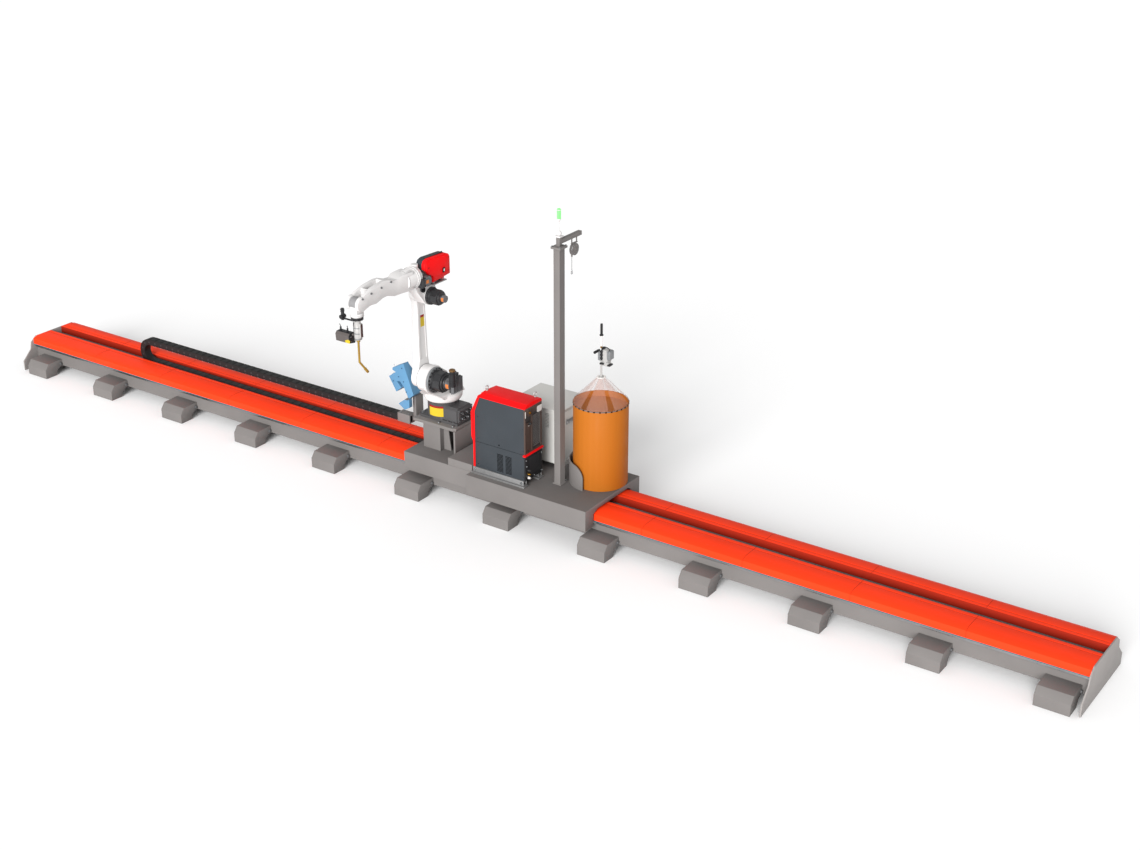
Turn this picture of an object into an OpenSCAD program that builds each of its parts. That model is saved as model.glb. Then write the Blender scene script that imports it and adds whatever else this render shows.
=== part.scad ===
// Welding robot on a floor rail. The robot, its welding power source, robot
// controller, wire drum and signal mast all travel on one carriage.
// Millimetres, +Z up. Origin: on the floor, midway along the rail.
// +X runs along the rail towards the wire drum, -Y is the welding side.

/* [Rail] */
// Length over the two end plates
rail_len = 12250; // [9600:50:16000]
// Distance from one foot to the next
foot_pitch = 1069; // [800:1:1110]
// Number of feet on each side
foot_count = 12; // [8:1:12]
// Length of a foot along the rail
foot_len = 296; // [150:1:350]
// Gap between the left end plate and the first foot
foot_start = 121; // [20:1:200]
// Half width over the feet
foot_reach = 500; // [420:1:620]
// Half width over the two beams
beam_reach = 262; // [240:1:275]
// Clear height under the beams
beam_low = 90; // [60:1:120]
// Top of the beams
beam_top = 268; // [250:1:272]
// Wall of the box beams
beam_wall = 12; // [8:1:20]
// Half width over the two red hoods
hood_reach = 300; // [292:1:318]
// Top face of the hoods
hood_top = 359; // [350:1:364]
// Lower edge of the hoods
hood_low = 274.5; // [272:0.5:300]
// Sheet thickness of the hoods
hood_t = 4; // [2:0.5:5]
// Thickness of the end plates
end_t = 12; // [6:1:20]

/* [Cable trough] */
// Centre line of the trough
trough_y = 25; // [0:1:30]
// Clear width between the hoods
trough_w = 148; // [130:1:160]
// Top of the tray's side walls
tray_top = 284; // [280:1:300]
// Thickness of the tray
tray_t = 8; // [4:1:10]

/* [Cable chain] */
// Width of the chain
chain_w = 90; // [60:1:110]
// Height of a chain link
link_h = 64; // [50:1:70]
// Length of a chain link
link_len = 90; // [60:1:120]
// Height over the chain's bend
chain_loop_h = 308; // [270:1:320]
// Gap between the lower run and the trough's floor
chain_gap = 6; // [5:1:12]
// Wall of the links round the cables
link_wall = 9; // [6:1:14]
// Number of links in the upper run
upper_links = 39; // [20:1:40]
// Number of links in the lower run
lower_links = 50; // [10:1:52]

/* [Carriage] */
// Left end of the carriage frame
frame_left = -640; // [-800:1:-640]
// Half width of the narrow frame under the robot
frame_reach = 354; // [345:1:400]
// Top of the narrow frame
frame_top = 410; // [405:1:415]
// Left end of the wide deck
deck_left = 187; // [150:1:200]
// Right end of the wide deck
deck_right = 1536; // [1530:1:1700]
// Half width of the wide deck
deck_reach = 450; // [440:1:500]
// Top of the wide deck
deck_top = 423.5; // [420:0.5:430]
// Thickness of the deck plate
deck_t = 30; // [20:1:32]
// Lower edge of the carriage's skirts
skirt_low = 223.5; // [215:0.5:225]
// Thickness of the skirts
skirt_t = 20; // [12:1:26]
// Left end of the raised box between robot and power source
riser_left = -100; // [-110:1:-60]
// Top of the raised box
riser_top = 486; // [450:1:520]

/* [Pedestal] */
// Top face of the pedestal's plate
pedestal_top = 710; // [650:1:760]
// Thickness of the pedestal's plate
pedestal_t = 30; // [20:1:40]

/* [Robot] */
// Rail position of the turning axis
robot_x = -420; // [-430:1:-410]
// Height of the base above the pedestal
base_h = 195; // [180:1:230]
// Distance from the turning axis to the shoulder axis
shoulder_out = 180; // [150:1:190]
// Height of the shoulder axis above the turntable
shoulder_up = 255; // [250:1:290]
// Length of the lower arm between its axes
arm_len = 845; // [750:1:1000]
// Height of the forearm's axis above the elbow axis
elbow_up = 230; // [220:1:240]
// Distance from the elbow axis to the wrist axis
forearm_len = 970; // [900:1:1100]
// Running gap between two jointed pieces
joint_gap = 0.5; // [0.3:0.1:1]

/* [Mast and drum] */
// Width of the mast along the rail
mast_w = 66; // [50:1:90]
// Depth of the mast across the rail
mast_d = 80; // [60:1:90]
// Height of the mast's head plate above the floor
mast_top = 2700; // [2300:10:3000]
// Diameter of the wire drum
drum_d = 510; // [450:1:520]
// Height of the wire drum
drum_h = 799; // [600:1:900]
// Height of the clear hood over the drum
hood_cone_h = 236; // [180:1:320]

/* [Hidden] */
$fn = 48;

steel_grey = "#9a9795";
hood_red = "#f4431f";
gear_red = "#e01414";
slate = "#4c5156";
near_black = "#26282a";
robot_white = "#eeeeec";
motor_grey = "#3a3c3e";

half_rail = rail_len / 2;
beam_end = half_rail - end_t;
trough_front = trough_y - trough_w / 2;
trough_rear = trough_y + trough_w / 2;
// The tray rests this far on each beam
tray_seat = 9;
beam_inner_front = trough_front + tray_seat;
beam_inner_rear = trough_rear - tray_seat;

// Guide rail under each hood
guide_proud = 20;
guide_low = 236;
guide_h = 20;
guide_gap = 0.5;

// Clearance of the carriage's end openings round the hoods
hood_clear = 18;

turntable_z = pedestal_top + base_h;
shoulder_y = -shoulder_out;
shoulder_z = turntable_z + shoulder_up;
// The lower arm leans a hair forward of upright
elbow_y = shoulder_y - 10;
elbow_z = shoulder_z + arm_len;
forearm_z = elbow_z + elbow_up;
wrist_y = elbow_y - forearm_len;
// The wrist axis lies just below the forearm's axis
wrist_z = forearm_z - 20;
// Plane between the lower arm and the castings it turns against
arm_face_x = robot_x - 68;
arm_t = 80;
motor_face_x = robot_x + 45;
forearm_start = elbow_y - 210;

mast_x = 1009;
mast_y = -95;
drum_x = 1282;
drum_y = 173;

// ---- helpers -------------------------------------------------------------

// A box between two corners
module block(lo, hi) {
    translate(lo) cube(hi - lo);
}

// An outline in Y and Z, carried along X
module along_x(outline, x0, x1) {
    translate([x0, 0, 0]) rotate([90, 0, 90]) linear_extrude(x1 - x0) polygon(outline);
}

// An outline in X and Z, carried along Y
module along_y(outline, y0, y1) {
    translate([0, y1, 0]) rotate([90, 0, 0]) linear_extrude(y1 - y0) polygon(outline);
}

module rod_x(x0, x1, y, z, r) {
    translate([x0, y, z]) rotate([0, 90, 0]) cylinder(h = x1 - x0, r = r);
}

module rod_y(y0, y1, x, z, r) {
    translate([x, y1, z]) rotate([90, 0, 0]) cylinder(h = y1 - y0, r = r);
}

module rod_z(z0, z1, x, y, r) {
    translate([x, y, z0]) cylinder(h = z1 - z0, r = r);
}

// ---- rail ----------------------------------------------------------------

module box_beam(y0, y1) {
    difference() {
        block([-beam_end, y0, beam_low], [beam_end, y1, beam_top]);
        block([-beam_end - 1, y0 + beam_wall, beam_low + beam_wall],
              [beam_end + 1, y1 - beam_wall, beam_top - beam_wall]);
    }
}

module front_beam() {
    color(steel_grey) box_beam(-beam_reach, beam_inner_front);
}

module rear_beam() {
    color(steel_grey) box_beam(beam_inner_rear, beam_reach);
}

// A cast foot: upright toe, slanted shoulder, and an arch cut beside the beam
module foot(x) {
    arch_r = beam_low - 2;
    shoulder_z1 = beam_low + 10;
    ridge_z = beam_low + 76;
    difference() {
        along_x([[-foot_reach, 0], [-foot_reach, shoulder_z1],
                 [-foot_reach + 48, ridge_z - 4], [-beam_reach, ridge_z],
                 [-beam_reach, 0]], x, x + foot_len);
        rod_x(x - 1, x + foot_len + 1, -beam_reach, 0, arch_r);
    }
}

module front_feet() {
    color(steel_grey)
    for (i = [0 : foot_count - 1]) foot(-half_rail + foot_start + i * foot_pitch);
}

module rear_feet() {
    color(steel_grey)
    mirror([0, 1, 0])
    for (i = [0 : foot_count - 1]) foot(-half_rail + foot_start + i * foot_pitch);
}

// Channels that tie the two beams together at each pair of feet
module cross_ties() {
    tie_w = 120;
    color(steel_grey)
    for (i = [0 : foot_count - 1]) {
        x = -half_rail + foot_start + i * foot_pitch + (foot_len - tie_w) / 2;
        block([x, beam_inner_front, beam_low + 10], [x + tie_w, beam_inner_rear, beam_low + 90]);
    }
}

// A shallow channel that lies on both beams
module cable_tray() {
    color(near_black)
    along_x([[trough_front, beam_top], [trough_rear, beam_top], [trough_rear, tray_top],
             [trough_rear - tray_t, tray_top], [trough_rear - tray_t, beam_top + tray_t],
             [trough_front + tray_t, beam_top + tray_t], [trough_front + tray_t, tray_top],
             [trough_front, tray_top]], -beam_end, beam_end);
}

// Folded sheet: outer side, slanted edge, top with a pressed groove, and the
// inner flange that lines the trough down to the tray
module hood(inner) {
    t = hood_t;
    slant_z = hood_top - 20;
    slant_y = hood_reach - 58;
    k = t * 0.6;
    seam = inner + 44;
    dip = 3;
    along_x([[-hood_reach, hood_low], [-hood_reach, slant_z], [-slant_y, hood_top],
             [-seam - 5, hood_top], [-seam - 3, hood_top - dip],
             [-seam + 3, hood_top - dip], [-seam + 5, hood_top],
             [-inner, hood_top], [-inner, tray_top], [-inner - t, tray_top],
             [-inner - t, hood_top - t], [-seam + 6, hood_top - t],
             [-seam + 4, hood_top - t - dip], [-seam - 4, hood_top - t - dip],
             [-seam - 6, hood_top - t], [-slant_y - k * 0.3, hood_top - t],
             [-hood_reach + t, slant_z - k], [-hood_reach + t, hood_low]],
            -beam_end, beam_end);
}

module front_hood() {
    color(hood_red) hood(-trough_front);
}

module rear_hood() {
    color(hood_red) mirror([0, 1, 0]) hood(trough_rear);
}

module end_plate(x0) {
    wide = foot_reach - 35;
    low = 5;
    half = [[wide, low], [wide, 112], [350, 222], [333, hood_top - 59], [262, hood_top - 4]];
    other = [for (i = [len(half) - 1 : -1 : 0]) [-half[i][0], half[i][1]]];
    color(steel_grey) along_x(concat(half, other), x0, x0 + end_t);
}

module left_end_plate() {
    end_plate(-half_rail);
}

module right_end_plate() {
    end_plate(half_rail - end_t);
}

module guide_rails() {
    color("silver")
    for (side = [-1, 1]) {
        y0 = side < 0 ? -beam_reach - guide_proud : beam_reach;
        block([-beam_end, y0, guide_low], [beam_end, y0 + guide_proud, guide_low + guide_h]);
    }
}

// ---- carriage ------------------------------------------------------------

// The hood-shaped opening in the carriage's end walls
module end_opening(x0, x1) {
    w = hood_reach + hood_clear;
    top = hood_top + hood_clear;
    half = [[w, skirt_low - 1], [w, top - 32], [w - 68, top]];
    other = [for (i = [len(half) - 1 : -1 : 0]) [-half[i][0], half[i][1]]];
    along_x(concat(half, other), x0, x1);
}

// An upturned channel with an end wall at each end
module carriage_box(x0, x1, reach, top, plate) {
    difference() {
        block([x0, -reach, skirt_low], [x1, reach, top]);
        block([x0 + skirt_t, -reach + skirt_t, skirt_low - 1],
              [x1 - skirt_t, reach - skirt_t, top - plate]);
        end_opening(x0 - 1, x1 + 1);
    }
}

module carriage_frame() {
    color(steel_grey) carriage_box(frame_left, deck_left, frame_reach, frame_top, 25);
}

module carriage_deck() {
    color(steel_grey) carriage_box(deck_left, deck_right, deck_reach, deck_top, deck_t);
}

module riser_box() {
    wall = 12;
    color(steel_grey)
    difference() {
        block([riser_left, -frame_reach, frame_top], [deck_left, frame_reach, riser_top]);
        block([riser_left + wall, -frame_reach + wall, frame_top - 1],
              [deck_left - wall, frame_reach - wall, riser_top - wall]);
    }
}

// A guide block: a C-shape that closes round the guide rail
module guide_block(x, inner) {
    face = beam_reach + guide_proud + guide_gap;
    lip = beam_reach + 2;
    low = guide_low - guide_gap;
    high = guide_low + guide_h + guide_gap;
    along_x([[-inner, skirt_low + 0.5], [-inner, high + 11], [-lip, high + 11], [-lip, high],
             [-face, high], [-face, low], [-lip, low], [-lip, skirt_low + 0.5]], x, x + 150);
}

module guide_blocks() {
    color("silver")
    for (side = [0, 1]) mirror([0, side, 0]) {
        guide_block(frame_left + 60, frame_reach - skirt_t);
        guide_block(deck_left - 210, frame_reach - skirt_t);
        guide_block(deck_left + 60, deck_reach - skirt_t);
        guide_block(deck_right - 210, deck_reach - skirt_t);
    }
}

// ---- pedestal ------------------------------------------------------------

pedestal_left = robot_x - 214;
pedestal_right = robot_x + 290;
column_left = robot_x - 133;
column_right = robot_x + 73;
column_reach = 156;

// Box column, a side plate and two tapered ribs
module pedestal() {
    wall = 12;
    z1 = pedestal_top - pedestal_t;
    color(steel_grey) {
        difference() {
            block([column_left, -column_reach, frame_top], [column_right, column_reach, z1]);
            block([column_left + wall, -column_reach + wall, frame_top - 1],
                  [column_right - wall, column_reach - wall, z1 + 1]);
        }
        for (y = [-96, 84])
            along_y([[column_right, frame_top], [column_right + 84, frame_top],
                     [column_right + 48, z1], [column_right, z1]], y, y + 12);
        block([pedestal_right - 20, -200, frame_top], [pedestal_right, 200, z1]);
    }
}

module pedestal_plate() {
    color(steel_grey)
    translate([0, 0, pedestal_top - pedestal_t])
    linear_extrude(pedestal_t)
    polygon([[pedestal_left, -200], [pedestal_right - 30, -200], [pedestal_right, -180],
             [pedestal_right, 180], [pedestal_right - 30, 200], [pedestal_left, 200]]);
}

// ---- cable chain ---------------------------------------------------------

chain_y0 = trough_y - chain_w / 2;
chain_y1 = trough_y + chain_w / 2;
chain_low = beam_top + tray_t + chain_gap;
chain_top = chain_low + chain_loop_h;
bend_r = chain_loop_h / 2;
// End box that holds the upper run, beside the robot's pedestal
box_left = robot_x - 570;
box_right = robot_x - 416;
bend_x = box_left - upper_links * link_len;
box_low = chain_top - link_h - 7;
box_top = chain_top + 20;

// Box on the end of the upper run, and the arm that ties it to the column
module chain_bracket() {
    // The arm passes below the pedestal's plate
    arm_top = min(box_top - 8, pedestal_top - pedestal_t - 2);
    color(steel_grey) {
        block([box_left, chain_y0, box_low], [box_right, chain_y1, box_top]);
        block([post_right, chain_y0 + 5, arm_top - 30], [column_left, chain_y1 - 5, arm_top]);
    }
}

// One link from the side, its corners cut so that the joints show
module link_outline() {
    cut = 5;
    polygon([[0, cut], [cut, 0], [link_len - cut, 0], [link_len, cut],
             [link_len, link_h - cut], [link_len - cut, link_h], [cut, link_h], [0, link_h - cut]]);
}

// Two straight rows of links and the links that stand round the bend
module chain_outline() {
    bend_links = 5;
    for (i = [0 : upper_links - 1])
        translate([bend_x + i * link_len, chain_top - link_h]) link_outline();
    for (i = [0 : lower_links - 1])
        translate([bend_x + i * link_len, chain_low]) link_outline();
    difference() {
        translate([bend_x, chain_low + bend_r]) circle(r = bend_r);
        translate([bend_x, chain_low + bend_r]) circle(r = bend_r - link_h);
        translate([bend_x, chain_low - 1]) square([bend_r + 2, chain_loop_h + 2]);
        for (i = [0 : bend_links])
            translate([bend_x, chain_low + bend_r]) rotate(90 + i * 180 / bend_links)
                translate([bend_r, 0]) rotate(45) square(7, center = true);
    }
}

// The hollow that carries the cables, following both runs and the bend
module chain_hollow() {
    inner = link_h - 2 * link_wall;
    translate([bend_x - 1, chain_top - link_h + link_wall])
        square([upper_links * link_len - 20, inner]);
    translate([bend_x - 1, chain_low + link_wall])
        square([lower_links * link_len + 2, inner]);
    translate([bend_x, chain_low + bend_r])
        difference() {
            circle(r = bend_r - link_wall);
            circle(r = bend_r - link_h + link_wall);
            translate([0, -bend_r]) square([bend_r, 2 * bend_r]);
        }
}

module cable_chain() {
    side = 12;
    color(near_black)
    difference() {
        translate([0, chain_y1, 0]) rotate([90, 0, 0])
            linear_extrude(chain_w) chain_outline();
        translate([0, chain_y1 - side, 0]) rotate([90, 0, 0])
            linear_extrude(chain_w - 2 * side) chain_hollow();
    }
}

// ---- torch cleaner -------------------------------------------------------

post_left = box_right;
post_right = post_left + 39;
post_y0 = 38;
post_y1 = 152;
post_top = 803;
// Right edge of the plate that the cleaner stands on, and the cleaner's near face
cleaner_x = post_right - 15;
cleaner_y = post_y0 - 82;

// Post beside the chain's end box, with a thin plate on top
module cleaner_post() {
    color(steel_grey) {
        block([post_left, post_y0, box_low + 20], [post_right, post_y1, post_top]);
        block([post_left, post_y0 - 122, post_top], [cleaner_x + 6, post_y1 + 5, post_top + 6]);
    }
}

// Leaning cleaner: a body that narrows to a waist and spreads to its foot, a side
// tank with a pocket behind it, and the waste cup that hangs below
module torch_cleaner() {
    x = cleaner_x;
    y = cleaner_y;
    z = post_top + 6;
    color("#6cb0e8") {
        difference() {
            intersection() {
                along_y([[x - 10, z], [x + 6, z], [x + 58, z + 46], [x - 55, z + 352], [x - 195, z + 278],
                         [x - 196, z + 255], [x - 157, z + 241], [x - 185, z + 220], [x - 244, z + 179],
                         [x - 158, z + 34], [x - 92, z + 90], [x - 64, z + 112]], y, y + 148);
                along_x([[y, z], [y + 136, z], [y + 136, z + 40], [y + 116, z + 70], [y + 120, z + 99],
                         [y + 82, z + 124], [y + 58, z + 171], [y + 58, z + 205], [y + 78, z + 248],
                         [y + 102, z + 277], [y + 80, z + 320], [y + 66, z + 370], [y, z + 370]],
                        x - 250, x + 60);
            }
            along_y([[x - 148, z + 149], [x - 104, z + 154], [x - 70, z + 114], [x - 94, z + 91]],
                    y - 1, y + 36);
        }
        along_y([[x - 133, z - 88], [x - 61, z - 135], [x, z - 102], [x, z - 6],
                 [x - 30, z - 6], [x - 114, z - 68]], y, y + 44);
    }
}

// ---- welding power source ------------------------------------------------

source_left = 208;
source_right = 805;
source_front = -350;
source_rear = -86;
source_low = 484;
source_top = 1200;
// Height of the lip between the power source and its water cooler
lip_z = 735;
lip_h = 16;
// The control face leans back above this height
brow_z = 1035;
lid_rise = 38;

// Closed housing with side panels and a sloping control face
module power_source_case() {
    slot_pitch = 13;
    slot_w = 69;
    color(slate)
    difference() {
        along_y([[source_left + 20, source_low], [source_right - 14, source_low],
                 [source_right - 14, source_top], [source_left + 84, source_top],
                 [source_left + 24, brow_z + 15]], source_front, source_rear);
        for (x = [source_left + 273, source_left + 370], i = [0 : 13])
            translate([x, source_front - 1, source_low + 22 + i * slot_pitch])
                cube([slot_w, 5, 6]);
    }
}

// Control face and the lid with its sloping shoulders
module power_source_cover() {
    t = 4;
    color(gear_red) {
        difference() {
            along_y([[source_left, source_low], [source_left + 20, source_low],
                     [source_left + 24, brow_z + 15], [source_left + 84, source_top],
                     [source_left + 66, source_top + 16], [source_left - 19, brow_z],
                     [source_left - 19, lip_z + 50], [source_left, lip_z + 5]],
                    source_front - t, source_rear + t);
            // Recess that holds the control panel
            along_y([[source_left - 30, lip_z + 110], [source_left - 11, lip_z + 110],
                     [source_left - 11, brow_z - 20], [source_left - 30, brow_z - 20]],
                    source_front + 40, source_rear - 40);
        }
        along_x([[source_front - t, source_top], [source_front - t, source_top + 4],
                 [source_front + 32, source_top + lid_rise], [source_front + 112, source_top + lid_rise + 4],
                 [source_rear - 8, source_top + lid_rise - 8], [source_rear + t, source_top + 8],
                 [source_rear + t, source_top]], source_left + 84, source_right);
    }
}

// Rear frame with its sunk grille field, over the red lip
module power_source_rear() {
    frame = 16;
    color("#5a4a44")
    difference() {
        block([source_right - 14, source_front, lip_z + lip_h],
              [source_right, source_rear, source_top]);
        block([source_right - 8, source_front + frame, lip_z + lip_h + frame],
              [source_right + 1, source_rear - frame, source_top - 66]);
    }
    color(gear_red)
    along_x([[source_front - 20, lip_z], [source_rear + 4, lip_z], [source_rear + 4, lip_z + lip_h],
             [source_front - 20, lip_z + lip_h]], source_right - 14, source_right + 16);
}

// Water cooler under the power source, with two hose couplings
module water_cooler() {
    color(near_black) {
        block([source_right - 14, source_front, source_low],
              [source_right, source_rear, lip_z]);
        for (z = [source_low + 58, source_low + 96]) {
            rod_x(source_right, source_right + 12, source_front + 46, z, 11);
            rod_x(source_right + 12, source_right + 26, source_front + 46, z, 7);
        }
    }
}

// Two channel rails, lying on a flat strip each
module power_source_skid() {
    rail_h = source_low - deck_top - 16;
    color("silver")
    for (y = [source_front - 12, source_rear - 40]) {
        block([source_left - 14, y - 24, deck_top], [source_right + 6, y + 52, deck_top + 16]);
        difference() {
            block([source_left, y, deck_top + 16], [source_right - 14, y + 52, source_low]);
            block([source_left - 1, y + 5, deck_top + 21],
                  [source_right, y + 47, deck_top + 16 + rail_h - 5]);
        }
    }
}

// ---- controller cabinet --------------------------------------------------

cabinet_left = 299;
cabinet_right = 850;
cabinet_front = 140;
cabinet_rear = 608;
cabinet_top = 1000;
plinth_h = 45;

// Cabinet with a folded roof and louvres, on a set-back plinth
module controller_cabinet() {
    louvre_x = cabinet_left + 381;
    louvre_w = 44;
    color("#c9cbc6") {
        difference() {
            block([cabinet_left, cabinet_front, deck_top + plinth_h],
                  [cabinet_right, cabinet_rear, cabinet_top]);
            for (i = [0 : 9])
                translate([louvre_x, cabinet_front - 1, cabinet_top - 40 - i * 15])
                    cube([louvre_w, 5, 5]);
            // Gap round the door, in the end that carries the handle
            difference() {
                block([cabinet_right - 3, cabinet_front + 16, deck_top + plinth_h + 16],
                      [cabinet_right + 1, cabinet_rear - 16, cabinet_top - 16]);
                block([cabinet_right - 4, cabinet_front + 20, deck_top + plinth_h + 20],
                      [cabinet_right + 2, cabinet_rear - 20, cabinet_top - 20]);
            }
        }
        block([cabinet_left - 4, cabinet_front - 4, cabinet_top],
              [cabinet_right + 4, cabinet_rear + 4, cabinet_top + 14]);
        for (x = [cabinet_left + 10, cabinet_right - 70])
            block([x, cabinet_front + 10, deck_top],
                  [x + 60, deck_reach - 10, deck_top + plinth_h]);
    }
}

// Swing lever on its lock plate
module cabinet_handle() {
    y = cabinet_front + 95;
    z = cabinet_top - 140;
    color(near_black) {
        block([cabinet_right, y, z], [cabinet_right + 8, y + 150, z + 34]);
        block([cabinet_right + 8, y + 6, z + 8], [cabinet_right + 30, y + 24, z + 26]);
        block([cabinet_right + 20, y + 24, z + 10], [cabinet_right + 30, y + 140, z + 24]);
    }
}

// ---- mast ----------------------------------------------------------------

head_lip = 18;
head_t = 20;

// Box-section mast between its foot plate and its head plate
module mast() {
    w = mast_w / 2;
    d = mast_d / 2;
    wall = 5;
    foot_t = 10;
    color(steel_grey) {
        difference() {
            block([mast_x - w, mast_y - d, deck_top + foot_t], [mast_x + w, mast_y + d, mast_top]);
            block([mast_x - w + wall, mast_y - d + wall, deck_top + foot_t - 1],
                  [mast_x + w - wall, mast_y + d - wall, mast_top + 1]);
        }
        block([mast_x - w - 12, mast_y - d - 8, deck_top],
              [mast_x + w + 12, mast_y + d + 30, deck_top + foot_t]);
        block([mast_x - w - head_lip, mast_y - d - head_lip, mast_top],
              [mast_x + w + head_lip, mast_y + d + head_lip, mast_top + head_t]);
    }
}

jib_w = 38;
jib_top = mast_top + 78;
stub_top = jib_top + 26;
jib_end = mast_y + 325;
reel_y = mast_y + 232;
reel_z = jib_top - 148;
reel_r = 55;
hook_drop = 48;

// Short post on the head plate, the arm beside it, and two hooks
module jib_arm() {
    color(steel_grey) {
        block([mast_x - jib_w / 2, mast_y - jib_w / 2, mast_top + head_t],
              [mast_x + jib_w / 2, mast_y + jib_w / 2, stub_top]);
        block([mast_x - jib_w / 2, mast_y + jib_w / 2, jib_top - jib_w],
              [mast_x + jib_w / 2, jib_end, jib_top]);
        for (y = [reel_y - 37, reel_y + 37])
            rod_z(jib_top - jib_w - hook_drop, jib_top - jib_w, mast_x, y, 6);
    }
}

// Spring reel with a rim, a hub and the bar that hangs on the hooks
module balancer_reel() {
    bar_z = jib_top - jib_w - hook_drop;
    color(steel_grey) {
        rod_x(mast_x - 13, mast_x + 13, reel_y, reel_z, reel_r);
        rod_x(mast_x - 16, mast_x - 13, reel_y, reel_z, reel_r - 9);
        rod_x(mast_x + 13, mast_x + 16, reel_y, reel_z, reel_r - 9);
        rod_x(mast_x + 16, mast_x + 21, reel_y, reel_z, 12);
        block([mast_x - 6, reel_y - 45, bar_z - 10], [mast_x + 6, reel_y + 45, bar_z]);
        for (y = [reel_y - 18, reel_y + 8])
            block([mast_x - 5, y, reel_z + 40], [mast_x + 5, y + 10, bar_z - 10]);
        rod_z(cord_top, reel_z - 22, mast_x, cord_y, 8);
    }
}

cord_y = reel_y - 36;
cord_top = reel_z - 62;
cord_len = 125;
cord_d = 4;
// Route of the hanging cord, from the reel down to the hook
cord_route = [for (i = [0 : 5]) [mast_x, cord_y, cord_top - i * cord_len / 5]];

// A tube with eight sides swept down the route
module balancer_cord() {
    sides = 8;
    rings = len(cord_route);
    points = [for (p = cord_route) for (k = [0 : sides - 1])
              [p[0] + cord_d / 2 * cos(k * 360 / sides), p[1] + cord_d / 2 * sin(k * 360 / sides), p[2]]];
    walls = [for (r = [0 : rings - 2]) for (k = [0 : sides - 1])
             [r * sides + k, r * sides + (k + 1) % sides,
              (r + 1) * sides + (k + 1) % sides, (r + 1) * sides + k]];
    first = [for (k = [0 : sides - 1]) sides - 1 - k];
    last = [for (k = [0 : sides - 1]) (rings - 1) * sides + k];
    color("#555555") polyhedron(points, concat(walls, [first, last]));
}

// Swivel and ring at the cord's end
module balancer_hook() {
    z = cord_top - cord_len;
    color(near_black) {
        rod_z(z - 16, z, mast_x, cord_y, 6);
        translate([mast_x, cord_y, z - 26]) rotate([0, 90, 0])
            rotate_extrude() translate([11, 0]) circle(r = 3, $fn = 16);
    }
}

// Lamp on a ball joint: stem, cup and lens
module signal_lamp() {
    z = stub_top;
    color(robot_white) {
        block([mast_x - 30, mast_y - 30, z], [mast_x + 30, mast_y + 30, z + 10]);
        translate([mast_x, mast_y, z + 32]) sphere(r = 24);
        rod_z(z + 50, z + 142, mast_x, mast_y, 5);
        translate([mast_x, mast_y, 0]) rotate_extrude()
            polygon([[0, z + 135], [6, z + 135], [17, z + 158], [0, z + 158]]);
    }
    color("#8ef08e")
    translate([mast_x, mast_y, 0]) rotate_extrude()
        polygon([[0, z + 158], [18, z + 158], [18, z + 248], [12, z + 254], [0, z + 254]]);
}

// ---- wire drum -----------------------------------------------------------

drum_top = deck_top + drum_h;
drum_r = drum_d / 2;
apex_z = drum_top + hood_cone_h;

// Fibre drum with its lid sunk below the rim
module wire_drum() {
    rim = 6;
    sunk = 60;
    color("#e08a28")
    translate([drum_x, drum_y, deck_top])
    rotate_extrude($fn = 64)
    polygon([[0, 0], [drum_r - 3, 0], [drum_r, 3], [drum_r, drum_h], [drum_r - rim, drum_h],
             [drum_r - rim, drum_h - sunk], [0, drum_h - sunk]]);
}

// Clear cone with a clamping ring below and a collar on top
module drum_hood() {
    t = 3;
    low_r = drum_r - 1;
    high_r = 42;
    bore_r = 14;
    ring_h = 14;
    color([0.95, 0.85, 0.82, 0.4])
    translate([drum_x, drum_y, drum_top])
    rotate_extrude($fn = 64)
    polygon([[low_r - 5, 0], [low_r, 0], [low_r, ring_h], [high_r, hood_cone_h - 4],
             [high_r, hood_cone_h], [bore_r, hood_cone_h], [bore_r, hood_cone_h - t],
             [high_r - t, hood_cone_h - 4 - t], [low_r - 5, ring_h]]);
}

// The cradle's edge stands level, then rolls down to its front end
cradle_gap = 26;
cradle_t = 10;
cradle_r = drum_r + cradle_gap + cradle_t;
cradle_high = 227;
cradle_low = 110;
cradle_bend_x = -118;
cradle_end_x = -4;
// It stops short of the deck's rear edge
cradle_back = deck_reach - drum_y - 6;
function cradle_edge(x) = cradle_low + (cradle_high - cradle_low)
    * sqrt(max(0, 1 - pow(max(0, x - cradle_bend_x) / (cradle_end_x - cradle_bend_x), 2)));

// Rolled plate round the drum's left side
module drum_cradle() {
    steps = 16;
    reach = cradle_end_x - cradle_bend_x;
    curve = [for (i = [0 : steps]) let (x = cradle_bend_x + reach * sin(90 * i / steps))
             [x, cradle_edge(x)]];
    color(steel_grey)
    translate([drum_x, drum_y, deck_top])
    intersection() {
        difference() {
            cylinder(h = cradle_high, r = cradle_r, $fn = 64);
            translate([0, 0, -1]) cylinder(h = cradle_high + 2, r = cradle_r - cradle_t, $fn = 64);
        }
        along_y(concat([[-cradle_r - 1, 0], [-cradle_r - 1, cradle_high]], curve, [[cradle_end_x, 0]]),
                -cradle_r - 1, cradle_back);
    }
}

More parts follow.
